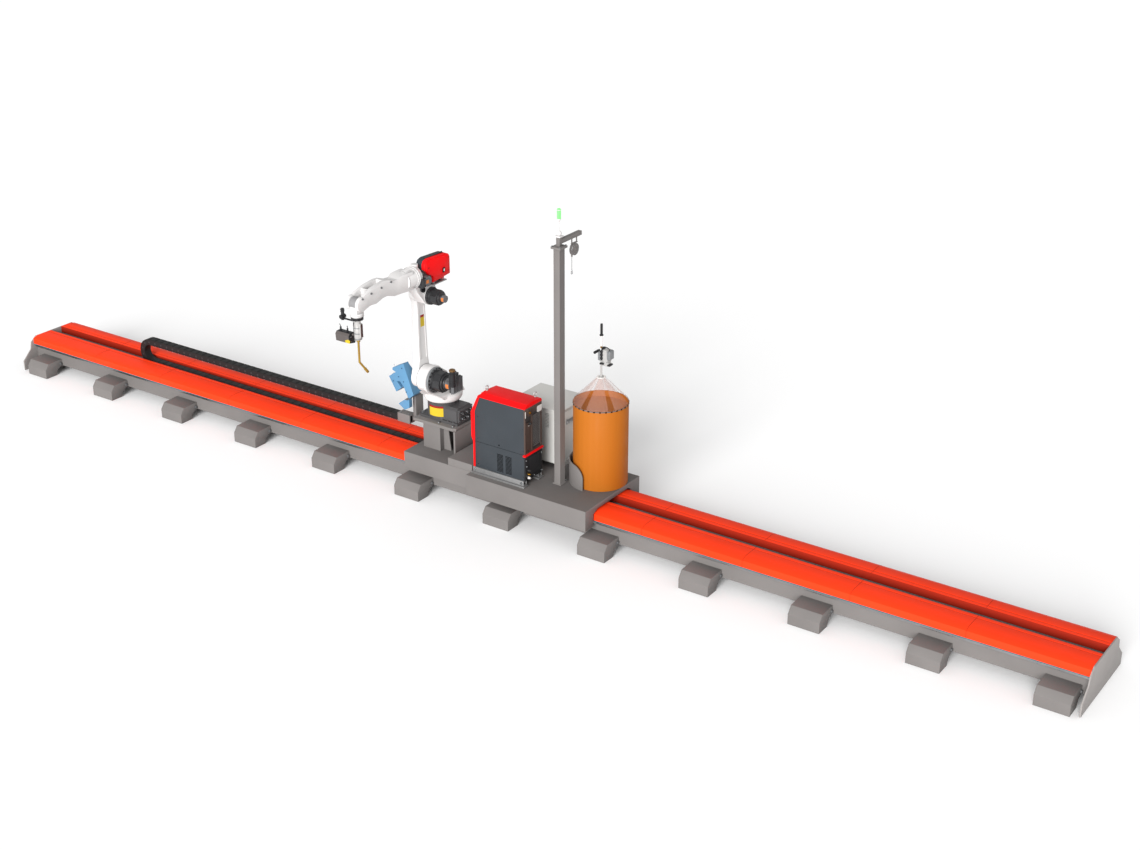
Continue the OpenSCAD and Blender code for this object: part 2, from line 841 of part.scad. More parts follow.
// Wire feeder that pushes the wire up out of the drum: a back plate with two
// drive rolls, a round motor, guide tubes below and above, and a hose on top
module booster_feeder() {
    z0 = apex_z;
    y = drum_y;
    plate_x = drum_x - 34;
    color("#b8babb") {
        rod_z(z0, z0 + 6, drum_x, y, 22);
        rod_z(z0 + 6, z0 + 96, drum_x, y, 9);
        block([plate_x, y - 36, z0 + 92], [plate_x + 14, y + 36, z0 + 250]);
        block([plate_x + 14, y - 26, z0 + 92], [plate_x + 84, y + 36, z0 + 150]);
        block([plate_x + 14, y - 10, z0 + 150], [plate_x + 64, y + 36, z0 + 240]);
        rod_x(plate_x + 64, plate_x + 140, y + 8, z0 + 186, 48);
        rod_z(z0 + 250, z0 + 262, drum_x - 27, y, 12);
        rod_z(z0 + 262, z0 + 350, drum_x - 27, y, 8);
        block([plate_x + 60, y - 26, z0 + 92], [plate_x + 130, y + 30, z0 + 104]);
    }
    color(near_black) {
        for (z = [z0 + 172, z0 + 216]) rod_y(y - 32, y - 10, plate_x + 30, z, 18);
        rod_z(z0 + 350, z0 + 366, drum_x - 27, y, 24);
        rod_z(z0 + 366, z0 + 505, drum_x - 27, y, 13);
        rod_x(plate_x - 72, plate_x, y - 8, z0 + 226, 15);
    }
}

// ---- robot ---------------------------------------------------------------

base_x0 = robot_x - 205;
base_x1 = robot_x + 270;
neck_r = 150;

// Foot plate, round neck, and the rear box with its connector panel
module robot_base() {
    z0 = pedestal_top;
    panel_x = base_x1;
    color(motor_grey) {
        linear_extrude_at(z0, 25)
        polygon([[base_x0, -115], [base_x0 + 30, -135], [base_x1, -135], [base_x1, 135],
                 [base_x0 + 30, 135], [base_x0, 115]]);
        rod_z(z0 + 25, turntable_z - 12, robot_x, 0, neck_r);
        rod_z(turntable_z - 12, turntable_z, robot_x, 0, neck_r + 8);
        along_x([[-115, z0 + 25], [115, z0 + 25], [115, z0 + 140], [90, z0 + 165], [-90, z0 + 165],
                 [-115, z0 + 140]], robot_x + 60, panel_x - 20);
        along_x([[-104, z0 + 25], [104, z0 + 25], [104, z0 + 152], [-104, z0 + 152]],
                panel_x - 20, panel_x);
        for (y = [-66, 0, 66]) rod_x(panel_x, panel_x + 26, y, z0 + 62, 19);
        for (y = [-66, 0, 66]) rod_x(panel_x, panel_x + 18, y, z0 + 118, 14);
    }
}

module linear_extrude_at(z, h) {
    translate([0, 0, z]) linear_extrude(h) children();
}

shoulder_hub_r = 132;

// Turning casting: skirt, sloping throat and the round shoulder hub
module turret() {
    z0 = turntable_z + joint_gap;
    x0 = arm_face_x;
    x1 = motor_face_x;
    skirt_r = 187;
    color(robot_white) {
        translate([robot_x, 0, z0]) rotate_extrude($fn = 64)
            polygon([[0, 0], [skirt_r - 34, 0], [skirt_r - 12, 10], [skirt_r, 30], [skirt_r, 62],
                     [skirt_r - 10, 74], [150, 92], [0, 92]]);
        // Throat from the skirt up to the hub, narrower at the top
        intersection() {
            along_x([[-165, z0 + 60], [150, z0 + 60], [150, z0 + 96], [70, z0 + 150],
                     [20, shoulder_z + 20], [shoulder_y + 60, shoulder_z + 118],
                     [shoulder_y - 60, shoulder_z + 118], [shoulder_y - 118, shoulder_z - 60]],
                    x0 - 60, x1 + 100);
            along_y([[robot_x - 150, z0 + 60], [robot_x + 150, z0 + 60], [robot_x + 130, z0 + 92],
                     [x1 - 2, z0 + 118], [x1 - 2, shoulder_z + 130], [x0 + 2, shoulder_z + 130],
                     [x0 + 2, z0 + 126], [robot_x - 130, z0 + 92]], -330, 200);
        }
        rod_x(x0, x1, shoulder_y, shoulder_z, shoulder_hub_r);
        rod_x(x1 - 30, x1 - 1, shoulder_y, shoulder_z, shoulder_hub_r + 6);
    }
}

// A servo motor along X: flange, body, stepped nose and end cap
module servo_motor(x0, y, z, flange_r, body_r, body_len, nose_r, nose_len) {
    color(near_black) {
        rod_x(x0, x0 + 22, y, z, flange_r);
        rod_x(x0 + 22, x0 + 40, y, z, body_r + 8);
        translate([x0 + 40, y, z]) rotate([0, 90, 0]) rotate([0, 0, 22.5])
            cylinder(h = body_len, r = body_r / cos(22.5), $fn = 8);
        rod_x(x0 + 40 + body_len, x0 + 58 + body_len, y, z, body_r - 10);
    }
    color(motor_grey)
    rod_x(x0 + 58 + body_len, x0 + 58 + body_len + nose_len, y, z, nose_r);
}

// Shoulder motor, its upright connector and the finned cooling plate
module shoulder_motor() {
    x0 = motor_face_x;
    y = shoulder_y;
    z = shoulder_z;
    body_len = 92;
    nose_len = 84;
    end_x = x0 + 58 + body_len + nose_len;
    servo_motor(x0, y, z, 126, 92, body_len, 58, nose_len);
    color(near_black) {
        block([end_x - 30, y - 30, z - 78], [end_x + 14, y + 60, z + 112]);
        rod_z(z + 112, z + 132, end_x - 8, y + 15, 24);
    }
    color(motor_grey) {
        block([end_x + 14, y - 64, z - 70], [end_x + 24, y + 76, z + 84]);
        for (i = [0 : 6])
            block([end_x + 24, y - 62 + i * 22, z - 66], [end_x + 48, y - 56 + i * 22, z + 80]);
    }
}

// Tapered box link between shoulder and elbow
module lower_arm() {
    x1 = arm_face_x - joint_gap;
    x0 = x1 - arm_t;
    hub = 108;
    tip = 88;
    mid_z0 = shoulder_z + 190;
    mid_z1 = elbow_z - 130;
    color(robot_white) {
        rod_x(x0, x1, shoulder_y, shoulder_z, hub);
        rod_x(x0, x1, elbow_y, elbow_z, tip);
        rod_x(x0 - 7, x0, shoulder_y, shoulder_z, hub - 26);
        rod_x(x0 - 7, x0, elbow_y, elbow_z, tip - 24);
        difference() {
            along_x([[shoulder_y - hub + 12, shoulder_z], [shoulder_y + hub - 12, shoulder_z],
                     [shoulder_y + 72, mid_z0 - 60], [shoulder_y + 62, mid_z0],
                     [elbow_y + 54, mid_z1], [elbow_y + 62, mid_z1 + 60],
                     [elbow_y + tip - 12, elbow_z], [elbow_y - tip + 12, elbow_z],
                     [elbow_y - 62, mid_z1 + 60], [elbow_y - 56, mid_z1],
                     [shoulder_y - 66, mid_z0], [shoulder_y - 78, mid_z0 - 60]], x0 + 3, x1 - 3);
            // Long shallow pocket on the inner face
            along_x([[shoulder_y - 42, mid_z0], [shoulder_y + 42, mid_z0],
                     [elbow_y + 36, mid_z1], [elbow_y - 36, mid_z1]], x1 - 9, x1);
        }
    }
}

ledge_z = elbow_z + 107;
elbow_r = 88;
barrel_r = 96;

// Casting that joins the elbow axis to the forearm's axis. Its back slopes away
// under the wire feeder and ends in a ledge that carries the feeder's bracket.
module elbow_housing() {
    x0 = arm_face_x;
    x1 = motor_face_x;
    ys = forearm_start;
    color(robot_white) {
        rod_x(x0, x1, elbow_y, elbow_z, elbow_r);
        along_x([[ys, forearm_z - 88], [ys + 22, forearm_z - 142], [elbow_y - 72, elbow_z - 62],
                 [elbow_y, elbow_z - 86], [elbow_y + 78, elbow_z - 45], [elbow_y + 84, elbow_z + 50],
                 [elbow_y + 60, ledge_z], [elbow_y - 10, ledge_z], [elbow_y - 15, ledge_z + 28],
                 [ys + 62, forearm_z + 62], [ys, forearm_z + 84]], x0 + 2, x1 - 2);
        // Barrel round the forearm's axis, with its clamping flange and cap
        rod_y(ys, ys + 45, robot_x, forearm_z, barrel_r);
        rod_y(ys, ys + 12, robot_x, forearm_z, barrel_r + 8);
        rod_z(forearm_z + 60, forearm_z + 108, robot_x - 10, ys + 58, 34);
    }
}

// Elbow motor on the elbow axis, and the smaller motor that turns the forearm
module elbow_motors() {
    x0 = motor_face_x;
    servo_motor(x0, elbow_y, elbow_z, 84, 66, 78, 34, 42);
    y = forearm_start + 100;
    z = forearm_z - 45;
    color(motor_grey) {
        rod_x(x0 - 2, x0 + 20, y, z, 54);
        translate([x0 + 20, y, z]) rotate([0, 90, 0]) rotate([0, 0, 22.5])
            cylinder(h = 52, r = 50, $fn = 8);
        rod_x(x0 + 72, x0 + 84, y, z, 24);
        rod_x(x0 - 2, x0 + 16, y - 10, z - 92, 25);
    }
}

feeder_left = robot_x - 14;
feeder_right = robot_x + 90;
feeder_low = ledge_z + 28;
feeder_high = feeder_low + 238;
feeder_front = elbow_y - 107;
feeder_rear = elbow_y + 247;
feeder_split = feeder_left + 40;

// The feeder's side outline: its rear top corner rounded, its front foot cut away
module feeder_outline(inset) {
    r = 48;
    polygon(concat(
        [[elbow_y - 4 + inset, feeder_low + inset], [feeder_rear - inset, feeder_low + 22 + inset]],
        [for (a = [0 : 15 : 90]) [feeder_rear - r + (r - inset) * cos(a),
                                  feeder_high - 12 - r + (r - inset) * sin(a)]],
        [[feeder_front + 60, feeder_high - inset], [feeder_front + 18, feeder_high - 14 - inset],
         [feeder_front + inset, feeder_high - 44], [feeder_front + inset, feeder_low + 146],
         [elbow_y - 60, feeder_low + 96], [elbow_y - 10 + inset, feeder_low + 62]]));
}

// Wire feeder on a bracket plate: a dark half that holds the drive, a red door
// half with bevelled edges, and the catch that keeps the door shut
module wire_feeder() {
    catch_y = elbow_y + 130;
    catch_z = feeder_low + 62;
    color("silver") {
        block([feeder_left - 10, elbow_y - 8, ledge_z],
              [feeder_right, elbow_y + 190, ledge_z + 10]);
        for (y = [elbow_y + 10, elbow_y + 150])
            block([feeder_left + 20, y, ledge_z + 10], [feeder_right - 20, y + 24, feeder_low + 18]);
    }
    color(slate) feeder_slab(feeder_left, feeder_split) feeder_outline(4);
    color(gear_red) {
        feeder_slab(feeder_split, feeder_right - 8) feeder_outline(0);
        feeder_slab(feeder_right - 8, feeder_right) feeder_outline(8);
    }
    color(near_black)
    block([feeder_right, catch_y, catch_z], [feeder_right + 8, catch_y + 30, catch_z + 44]);
}

module feeder_slab(x0, x1) {
    translate([x0, 0, 0]) rotate([90, 0, 90]) linear_extrude(x1 - x0) children();
}

// Bowed forearm: side outline and top outline intersected, an open cable channel
// along its back and a fork that holds the wrist
module forearm() {
    y0 = wrist_y;
    ys = forearm_start - joint_gap;
    fz = forearm_z;
    fork_in = 41;
    half_w = 72;
    fork_r = 66;
    color(robot_white) {
        rod_y(ys - 14, ys, robot_x, fz, barrel_r + 4);
        rod_y(ys - 130, ys - 14, robot_x, fz, barrel_r - 4);
        difference() {
            intersection() {
                along_x(concat([[ys - 60, fz - 82], [ys - 60, fz + 88], [ys - 210, fz + 88],
                         [ys - 262, fz + 66], [ys - 320, fz + 70], [ys - 412, fz + 104],
                         [ys - 470, fz + 108], [y0 + 150, fz + 88], [y0 + 40, wrist_z + fork_r + 12]],
                        [for (a = [75 : 15 : 300]) [y0 + fork_r * cos(a), wrist_z + fork_r * sin(a)]],
                        [[y0 + 102, wrist_z - 40], [y0 + 190, fz - 66], [y0 + 280, fz - 46],
                         [y0 + 350, fz - 46], [y0 + 450, fz - 78]]), robot_x - half_w, robot_x + half_w);
                linear_extrude_at(wrist_z - 200, 500)
                polygon([[robot_x - half_w, ys - 50], [robot_x - half_w, ys - 150],
                         [robot_x - 60, ys - 260], [robot_x - 60, y0 + 330],
                         [robot_x - half_w, y0 + 170], [robot_x - half_w, y0 - 80],
                         [robot_x + half_w, y0 - 80], [robot_x + half_w, y0 + 170],
                         [robot_x + 60, y0 + 330], [robot_x + 60, ys - 260],
                         [robot_x + half_w, ys - 150], [robot_x + half_w, ys - 50]]);
            }
            // Room for the wrist between the fork's two arms
            block([robot_x - fork_in, y0 - 100, wrist_z - 160], [robot_x + fork_in, y0 + 112, fz + 140]);
            // Cable channel behind the wrist
            translate([0, y0 + 111, fz - 6]) rotate([-6, 0, 0])
                translate([robot_x - 30, 0, 0]) cube([60, 190, 150]);
        }
    }
}

wrist_drop = 118;

// Wrist body on the bend axis, and the round housing that turns the torch
module wrist() {
    r = 54;
    half = 40.5;
    color(robot_white) {
        rod_x(robot_x - half, robot_x + half, wrist_y, wrist_z, r);
        block([robot_x - half, wrist_y - 47, wrist_z - 90], [robot_x + half, wrist_y + 47, wrist_z]);
        rod_z(wrist_z - wrist_drop, wrist_z - 90, robot_x, wrist_y, 60);
        rod_z(wrist_z - wrist_drop - 7, wrist_z - wrist_drop, robot_x, wrist_y, 54);
    }
}

torch_top = wrist_z - wrist_drop - 7 - joint_gap;
torch_body_r = 34;
neck_bend = 39;
neck_r0 = 10;
neck_bend_z = torch_top - 434;
neck_tip = 165;

// Mounting ring, shock sensor, torch body, bent neck and gas nozzle, with the
// black cable elbow that sticks out beside the ring
module torch() {
    z = torch_top;
    color(near_black) {
        rod_z(z - 25, z, robot_x, wrist_y, 56);
        rod_x(robot_x - 168, robot_x - 20, wrist_y, z - 50, 8);
        rod_z(z - 66, z + 42, robot_x - 171, wrist_y, 15);
        rod_y(wrist_y - 26, wrist_y + 26, robot_x - 171, z - 34, 20);
    }
    color("silver") {
        rod_z(z - 90, z - 25, robot_x, wrist_y, 30);
        rod_z(z - 215, z - 90, robot_x, wrist_y, torch_body_r);
        block([robot_x - 40, wrist_y - 14, z - 190], [robot_x + 44, wrist_y + 14, z - 60]);
    }
    color("#c8a860") {
        rod_z(z - 236, z - 215, robot_x, wrist_y, 18);
        rod_z(neck_bend_z, z - 236, robot_x, wrist_y, neck_r0);
        translate([robot_x, wrist_y, neck_bend_z]) {
            sphere(r = neck_r0);
            rotate([180 + neck_bend, 0, 0]) {
                cylinder(h = neck_tip - 60, r = neck_r0);
                translate([0, 0, neck_tip - 60]) cylinder(h = 60, r = neck_r0 + 3);
            }
        }
    }
}

// Laser seam finder on a bracket beside the torch
module seam_sensor() {
    z = torch_top - 172;
    x1 = robot_x - 62;
    y = wrist_y;
    color(slate) {
        along_x([[y - 42, z - 88], [y + 34, z - 104], [y + 48, z - 70], [y + 48, z - 10],
                 [y + 30, z], [y - 30, z], [y - 48, z - 20]], x1 - 165, x1 - 10);
        along_x([[y - 34, z - 82], [y + 28, z - 94], [y + 40, z - 68], [y + 40, z - 14],
                 [y + 24, z - 6], [y - 24, z - 6], [y - 40, z - 22]], x1 - 10, x1);
        block([x1, y - 14, z - 14], [robot_x - 40, y + 14, z + 8]);
        for (x = [x1 - 140, x1 - 60]) rod_z(z, z + 34, x, y, 8);
    }
}

// ---- assembly ------------------------------------------------------------

front_beam();
rear_beam();
front_feet();
rear_feet();
cross_ties();
cable_tray();
front_hood();
rear_hood();
left_end_plate();
right_end_plate();
guide_rails();
carriage_frame();
carriage_deck();
riser_box();
guide_blocks();
pedestal();
pedestal_plate();
chain_bracket();
cable_chain();
cleaner_post();
torch_cleaner();
power_source_case();
power_source_cover();
power_source_rear();
water_cooler();
power_source_skid();
controller_cabinet();
cabinet_handle();
mast();
jib_arm();
balancer_reel();
balancer_cord();
balancer_hook();
signal_lamp();
wire_drum();
drum_hood();
drum_cradle();
booster_feeder();
robot_base();
turret();
shoulder_motor();
lower_arm();
elbow_housing();
elbow_motors();
wire_feeder();
forearm();
wrist();
torch();
seam_sensor();
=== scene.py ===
"""Looks of the rail-mounted welding robot station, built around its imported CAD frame."""
import math

import bpy
import numpy as np
from bpy.props import FloatProperty, FloatVectorProperty, PointerProperty
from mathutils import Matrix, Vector


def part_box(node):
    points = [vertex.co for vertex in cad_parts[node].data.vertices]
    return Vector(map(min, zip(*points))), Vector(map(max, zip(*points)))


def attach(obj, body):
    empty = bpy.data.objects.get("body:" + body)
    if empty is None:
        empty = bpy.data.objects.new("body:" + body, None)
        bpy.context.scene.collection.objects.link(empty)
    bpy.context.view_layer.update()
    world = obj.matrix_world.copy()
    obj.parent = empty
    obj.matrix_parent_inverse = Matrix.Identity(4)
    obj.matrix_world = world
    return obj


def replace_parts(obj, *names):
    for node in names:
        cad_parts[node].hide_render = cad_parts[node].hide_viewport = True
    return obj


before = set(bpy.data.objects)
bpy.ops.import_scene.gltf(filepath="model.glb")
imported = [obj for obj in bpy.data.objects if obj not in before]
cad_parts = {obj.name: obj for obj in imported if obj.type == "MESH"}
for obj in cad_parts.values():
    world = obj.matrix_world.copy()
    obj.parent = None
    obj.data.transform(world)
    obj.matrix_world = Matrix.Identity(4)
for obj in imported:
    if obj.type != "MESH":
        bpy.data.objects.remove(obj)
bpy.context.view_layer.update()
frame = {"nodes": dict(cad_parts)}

bl_info = {
    "name": "Rail Welding Robot Station",
    "version": (1, 0, 0),
    "blender": (4, 5, 0),
    "location": "3D View > Sidebar > Welding Station",
    "description": "Finishes and fittings of a welding robot that travels on a floor rail",
    "category": "Object",
}

X, Y, Z = (1, 0, 0), (0, 1, 0), (0, 0, 1)
LEFT, FRONT, DOWN = (-1, 0, 0), (0, -1, 0), (0, 0, -1)
# Places that several fittings share, in millimetres, as all lengths down to the call that makes a piece
ROBOT_X = -420
SHOULDER = (-180, 1160)
ELBOW = (-190, 2005)
ROLL_AXIS_Z = 2235
WRIST_Y = -1160
MAST_X, MAST_Y = 1009, -95
FEEDER_SPLIT = -394


# ---- surfaces ------------------------------------------------------------

def corners(node):
    """Lowest and highest corner of a CAD node, as two arrays in millimetres."""
    return 1000 * np.array(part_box(node))


def frame_of(axis):
    """Two unit vectors square to an axis and to each other, which turn right-handed round it."""
    axis = np.asarray(axis, float) / np.linalg.norm(axis)
    across = np.cross(axis, X if abs(axis[0]) < 0.9 else Y)
    across /= np.linalg.norm(across)
    return np.cross(across, axis), across, axis


def around(count, start=0.0):
    """Angles evenly round a circle, in radians."""
    return np.arange(count) * 2 * math.pi / count + start


def spokes(axis, angles):
    """Unit vectors square to an axis, cos(a) u + sin(a) v, and the axis itself."""
    u, v, w = frame_of(axis)
    return np.cos(angles)[:, None] * u + np.sin(angles)[:, None] * v, w


def grid(rows, columns, wrap=False):
    """Four-cornered faces of a grid of points stored row by row; wrap joins its last column to its first."""
    r = np.arange(rows - 1)[:, None]
    c = np.arange(columns if wrap else columns - 1)[None, :]
    a, b = r * columns + c, r * columns + (c + 1) % columns
    return np.stack([a, b, b + columns, a + columns], -1).reshape(-1, 4).tolist()


def tube_faces(rows, sides):
    """Faces between closed rings of points, with the first and last ring closed by a flat cap."""
    end = rows * sides
    return grid(rows, sides, wrap=True) + [list(range(sides))[::-1], list(range(end - sides, end))]


def revolve(profile, centre=(0, 0, 0), axis=Z, sides=32):
    """A profile of (radius, height) pairs carried round an axis: centre + r cos(a) u + r sin(a) v + h axis.
    The first and last rings are closed with a flat cap. The profile runs up the outside."""
    ring, w = spokes(axis, around(sides))
    r, h = np.asarray(profile, float).T
    points = np.asarray(centre, float) + np.maximum(r, 0.001)[:, None, None] * ring + (h[:, None] * w)[:, None, :]
    return points.reshape(-1, 3), tube_faces(len(r), sides)


def hoop(profile, centre, axis=Z, sides=48):
    """A closed profile of (radius, height) pairs, anticlockwise, carried round an axis and joined to itself."""
    ring, w = spokes(axis, around(sides))
    r, h = np.asarray(profile, float).T
    points = np.asarray(centre, float) + r[None, :, None] * ring[:, None, :] + (h[:, None] * w)[None]
    count = sides * len(r)
    return points.reshape(-1, 3), [[i % count for i in row] for row in grid(sides + 1, len(r), wrap=True)]


def torus(centre, axis, major, minor, sides=28, tube=10):
    """A ring: a circle of radius minor carried round a circle of radius major."""
    b = around(tube)
    return hoop(np.stack([major + minor * np.cos(b), minor * np.sin(b)], 1), centre, axis, sides)


def tube(path, radius, sides=12, up=Z):
    """A round tube: at each point of the path a circle stands square to the path's direction."""
    path = np.asarray(path, float)
    along = np.gradient(path, axis=0)
    along /= np.linalg.norm(along, axis=1)[:, None]
    u = np.cross(np.asarray(up, float), along)
    u /= np.linalg.norm(u, axis=1)[:, None]
    v = np.cross(along, u)
    a = around(sides)[None, :, None]
    points = path[:, None, :] + radius * (np.cos(a) * u[:, None, :] + np.sin(a) * v[:, None, :])
    return points.reshape(-1, 3), tube_faces(len(path), sides)


def smooth_path(points, count):
    """A smooth route through a few points (each stretch is a cubic that meets its neighbours' slopes)."""
    p = np.asarray(points, float)
    p = np.vstack([2 * p[0] - p[1], p, 2 * p[-1] - p[-2]])
    t = np.linspace(0, len(p) - 3, count)
    i = np.minimum(t.astype(int), len(p) - 4)
    f = (t - i)[:, None]
    a, b, c, d = p[i], p[i + 1], p[i + 2], p[i + 3]
    return 0.5 * (2 * b + (c - a) * f + (2 * a - 5 * b + 4 * c - d) * f ** 2 + (3 * b - a - 3 * c + d) * f ** 3)


def inward(outline, distance):
    """A closed outline moved inwards along the mean normal of its two edges at each corner."""
    p = np.asarray(outline, float)
    before, after = p - np.roll(p, 1, 0), np.roll(p, -1, 0) - p
    n1, n2 = (np.stack([-e[:, 1], e[:, 0]], 1) / np.linalg.norm(e, axis=1)[:, None] for e in (before, after))
    return p + distance * (n1 + n2) / np.maximum(1 + (n1 * n2).sum(1), 0.3)[:, None]


def slab(outline, low, high, axis=2, edge=1):
    """A plate cut to an outline: four rings, the first and last drawn in by the edge's chamfer.
    The outline lies in the other two axes, in their order (Y Z, X Z or X Y)."""
    outline = np.asarray(outline, float)
    after = np.roll(outline, -1, 0)
    if (outline[:, 0] * after[:, 1] - after[:, 0] * outline[:, 1]).sum() <= 0:
        outline = outline[::-1]
    edge = min(edge, abs(high - low) / 2.5)
    drawn_in = inward(outline, edge)
    n = len(outline)
    points = np.zeros((4 * n, 3))
    points[:, [k for k in range(3) if k != axis]] = np.vstack([drawn_in, outline, outline, drawn_in])
    points[:, axis] = np.repeat([low, low + edge, high - edge, high], n)
    faces = tube_faces(4, n)
    return points, [f[::-1] for f in faces] if axis == 1 else faces


def rectangle(low_a, low_b, high_a, high_b):
    """Outline of a rectangle, anticlockwise."""
    return [(low_a, low_b), (high_a, low_b), (high_a, high_b), (low_a, high_b)]


def round_rect(centre, width, height, radius, steps=5):
    """Outline of a rectangle with round corners: r cos(a), r sin(a) over a quarter turn at each of them."""
    radius = min(radius, width / 2.01, height / 2.01)
    a = np.linspace(0, math.pi / 2, steps)
    x, y = width / 2 - radius, height / 2 - radius
    return np.vstack([np.stack([centre[0] + sx * x + radius * np.cos(a + k * math.pi / 2),
                                centre[1] + sy * y + radius * np.sin(a + k * math.pi / 2)], 1)
                      for k, (sx, sy) in enumerate(((1, 1), (-1, 1), (-1, -1), (1, -1)))])


def block(low, high, edge):
    """A box with chamfered edges, between two corners."""
    return slab(rectangle(low[0], low[1], high[0], high[1]), low[2], high[2], 2, edge)


def label(centre, width, height, radius, face, low=-0.5, proud=0.8, edge=0.2):
    """A thin plate with round corners on a face that looks along X, from under the face (low) to over it (proud)."""
    return slab(round_rect(centre, width, height, radius), face + low, face + proud, 0, edge)


def copies(shape, offsets):
    """The same shape at many places, in one array: its points plus each offset in turn."""
    points, faces = shape
    offsets = np.asarray(offsets, float).reshape(-1, 3)
    moved = (points[None] + offsets[:, None]).reshape(-1, 3)
    return moved, [[i + k * len(points) for i in f] for k in range(len(offsets)) for f in faces]


def joined(*shapes):
    """Several shapes as one list of points and faces."""
    points, faces, start = [], [], 0
    for p, f in shapes:
        points.append(np.asarray(p))
        faces += [[i + start for i in face] for face in f]
        start += len(p)
    return np.vstack(points), faces


def circle_of(centre, axis, radius, count, start=0.0):
    """Points evenly round a circle: centre + radius (cos(a) u + sin(a) v)."""
    return np.asarray(centre, float) + radius * spokes(axis, around(count, start))[0]


def bolt(axis, size):
    """A socket-head screw of thread diameter size, its foot at the origin: head, rounded rim and hole."""
    r, h = 0.75 * size, size * 0.9
    return revolve([(r, 0), (r, 0.85 * h), (0.9 * r, h), (0.5 * r, h), (0.5 * r, 0.4 * h)], axis=axis, sides=12)


def hex_bolt(axis, size):
    """A hexagon-head bolt on its washer, its foot at the origin."""
    washer = revolve([(1.05 * size, 0), (1.05 * size, 0.14 * size)], axis=axis, sides=16)
    head = [(0.86 * size, 0.14 * size), (0.86 * size, 0.66 * size), (0.74 * size, 0.78 * size)]
    return joined(washer, revolve(head, axis=axis, sides=6))


def screws(spots, size, axis=X, head=bolt):
    """The same screw at many places."""
    return copies(head(axis, size), spots)


def wrap_plate(centre, axis, radius, thick, arc, span, steps=24):
    """A thin plate bent round a cylinder: the region between two radii and two angles, along the axis."""
    ring, w = spokes(axis, np.radians(np.linspace(arc[0], arc[1], steps)))
    rows = [ring * r + h * w for r, h in rectangle(radius, span[0], radius + thick, span[1])]
    points = np.asarray(centre, float) + np.stack(rows, 1).reshape(-1, 3)
    return points, [f[::-1] for f in tube_faces(steps, 4)]


def lattice(centre, width, height, pitch, bar, x):
    """Crossed slanting bars that fill a rectangle of Y and Z: z = t + o and z = o - t, cut at its edges."""
    offsets = np.arange(-(width + height) / 2 + pitch / 2, (width + height) / 2, pitch)
    shapes = []
    for slope in (1, -1):
        first = np.maximum(-width / 2, -slope * offsets - height / 2)
        last = np.minimum(width / 2, -slope * offsets + height / 2)
        for a, b, o in zip(first, last, offsets):
            if b - a > 4 * bar:
                ends = [(x, centre[0] + t, centre[1] + slope * t + o) for t in (a, (a + b) / 2, b)]
                shapes.append(tube(ends, bar, 4, up=X))
    return joined(*shapes)


def middle(node):
    """Centre of a CAD node in X and Y."""
    low, high = corners(node)
    return (low[:2] + high[:2]) / 2


# ---- pieces --------------------------------------------------------------

finish = {}


def put(obj):
    """Adds an object to the scene."""
    bpy.context.scene.collection.objects.link(obj)
    return obj


def piece(name, shape, material, body, smooth=40):
    """Puts a shape in millimetres into a mesh object at the origin, and lets it ride on a body."""
    mesh = bpy.data.meshes.new(name)
    mesh.from_pydata((np.asarray(shape[0]) / 1000).tolist(), [], shape[1])
    mesh.validate()
    mesh.update()
    mesh.materials.append(material)
    mesh.polygons.foreach_set("use_smooth", np.ones(len(mesh.polygons), bool))
    mesh.set_sharp_from_angle(angle=math.radians(smooth))
    obj = put(bpy.data.objects.new(name, mesh))
    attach(obj, body)
    return obj


def fit(name, shape, paint_name, body="carriage", smooth=30):
    """A fitting of one shape, or of a list of shapes, in one of the station's finishes."""
    shape = joined(*shape) if isinstance(shape, list) else shape
    return piece(name, shape, finish[paint_name].material, body, smooth)


def finish_node(node, material, edge):
    """Gives a CAD node its material and edges rounded by some millimetres; its own mesh stays as it is."""
    obj = frame["nodes"][node]
    if not obj.material_slots:
        obj.data.materials.append(material)
    for place in obj.material_slots:
        place.material = material
    obj.data.polygons.foreach_set("use_smooth", np.ones(len(obj.data.polygons), bool))
    weld = obj.modifiers.new("Weld", "WELD")
    weld.merge_threshold = 0.00002
    flat = obj.modifiers.new("Flat faces", "DECIMATE")
    flat.decimate_type = "DISSOLVE"
    flat.angle_limit = math.radians(0.4)
    flat.delimit = {"MATERIAL"}
    bevel = obj.modifiers.new("Edges", "BEVEL")
    bevel.width = edge / 1000
    bevel.segments = 2
    bevel.limit_method = "ANGLE"
    bevel.angle_limit = math.radians(32)
    bevel.harden_normals = True


def paint(node, name, inside):
    """Gives some faces of a CAD node another finish: inside is a test on the x, y and z of their centres."""
    obj = frame["nodes"][node]
    mesh = obj.data
    centres = np.empty(len(mesh.polygons) * 3)
    mesh.polygons.foreach_get("center", centres)
    turn = np.array(obj.matrix_world)
    x, y, z = 1000 * (centres.reshape(-1, 3) @ turn[:3, :3].T + turn[:3, 3]).T
    index = np.zeros(len(mesh.polygons), np.int32)
    mesh.polygons.foreach_get("material_index", index)
    mesh.materials.append(finish[name].material)
    index[inside(x, y, z)] = len(mesh.materials) - 1
    mesh.polygons.foreach_set("material_index", index)
    mesh.update()


# ---- finishes ------------------------------------------------------------

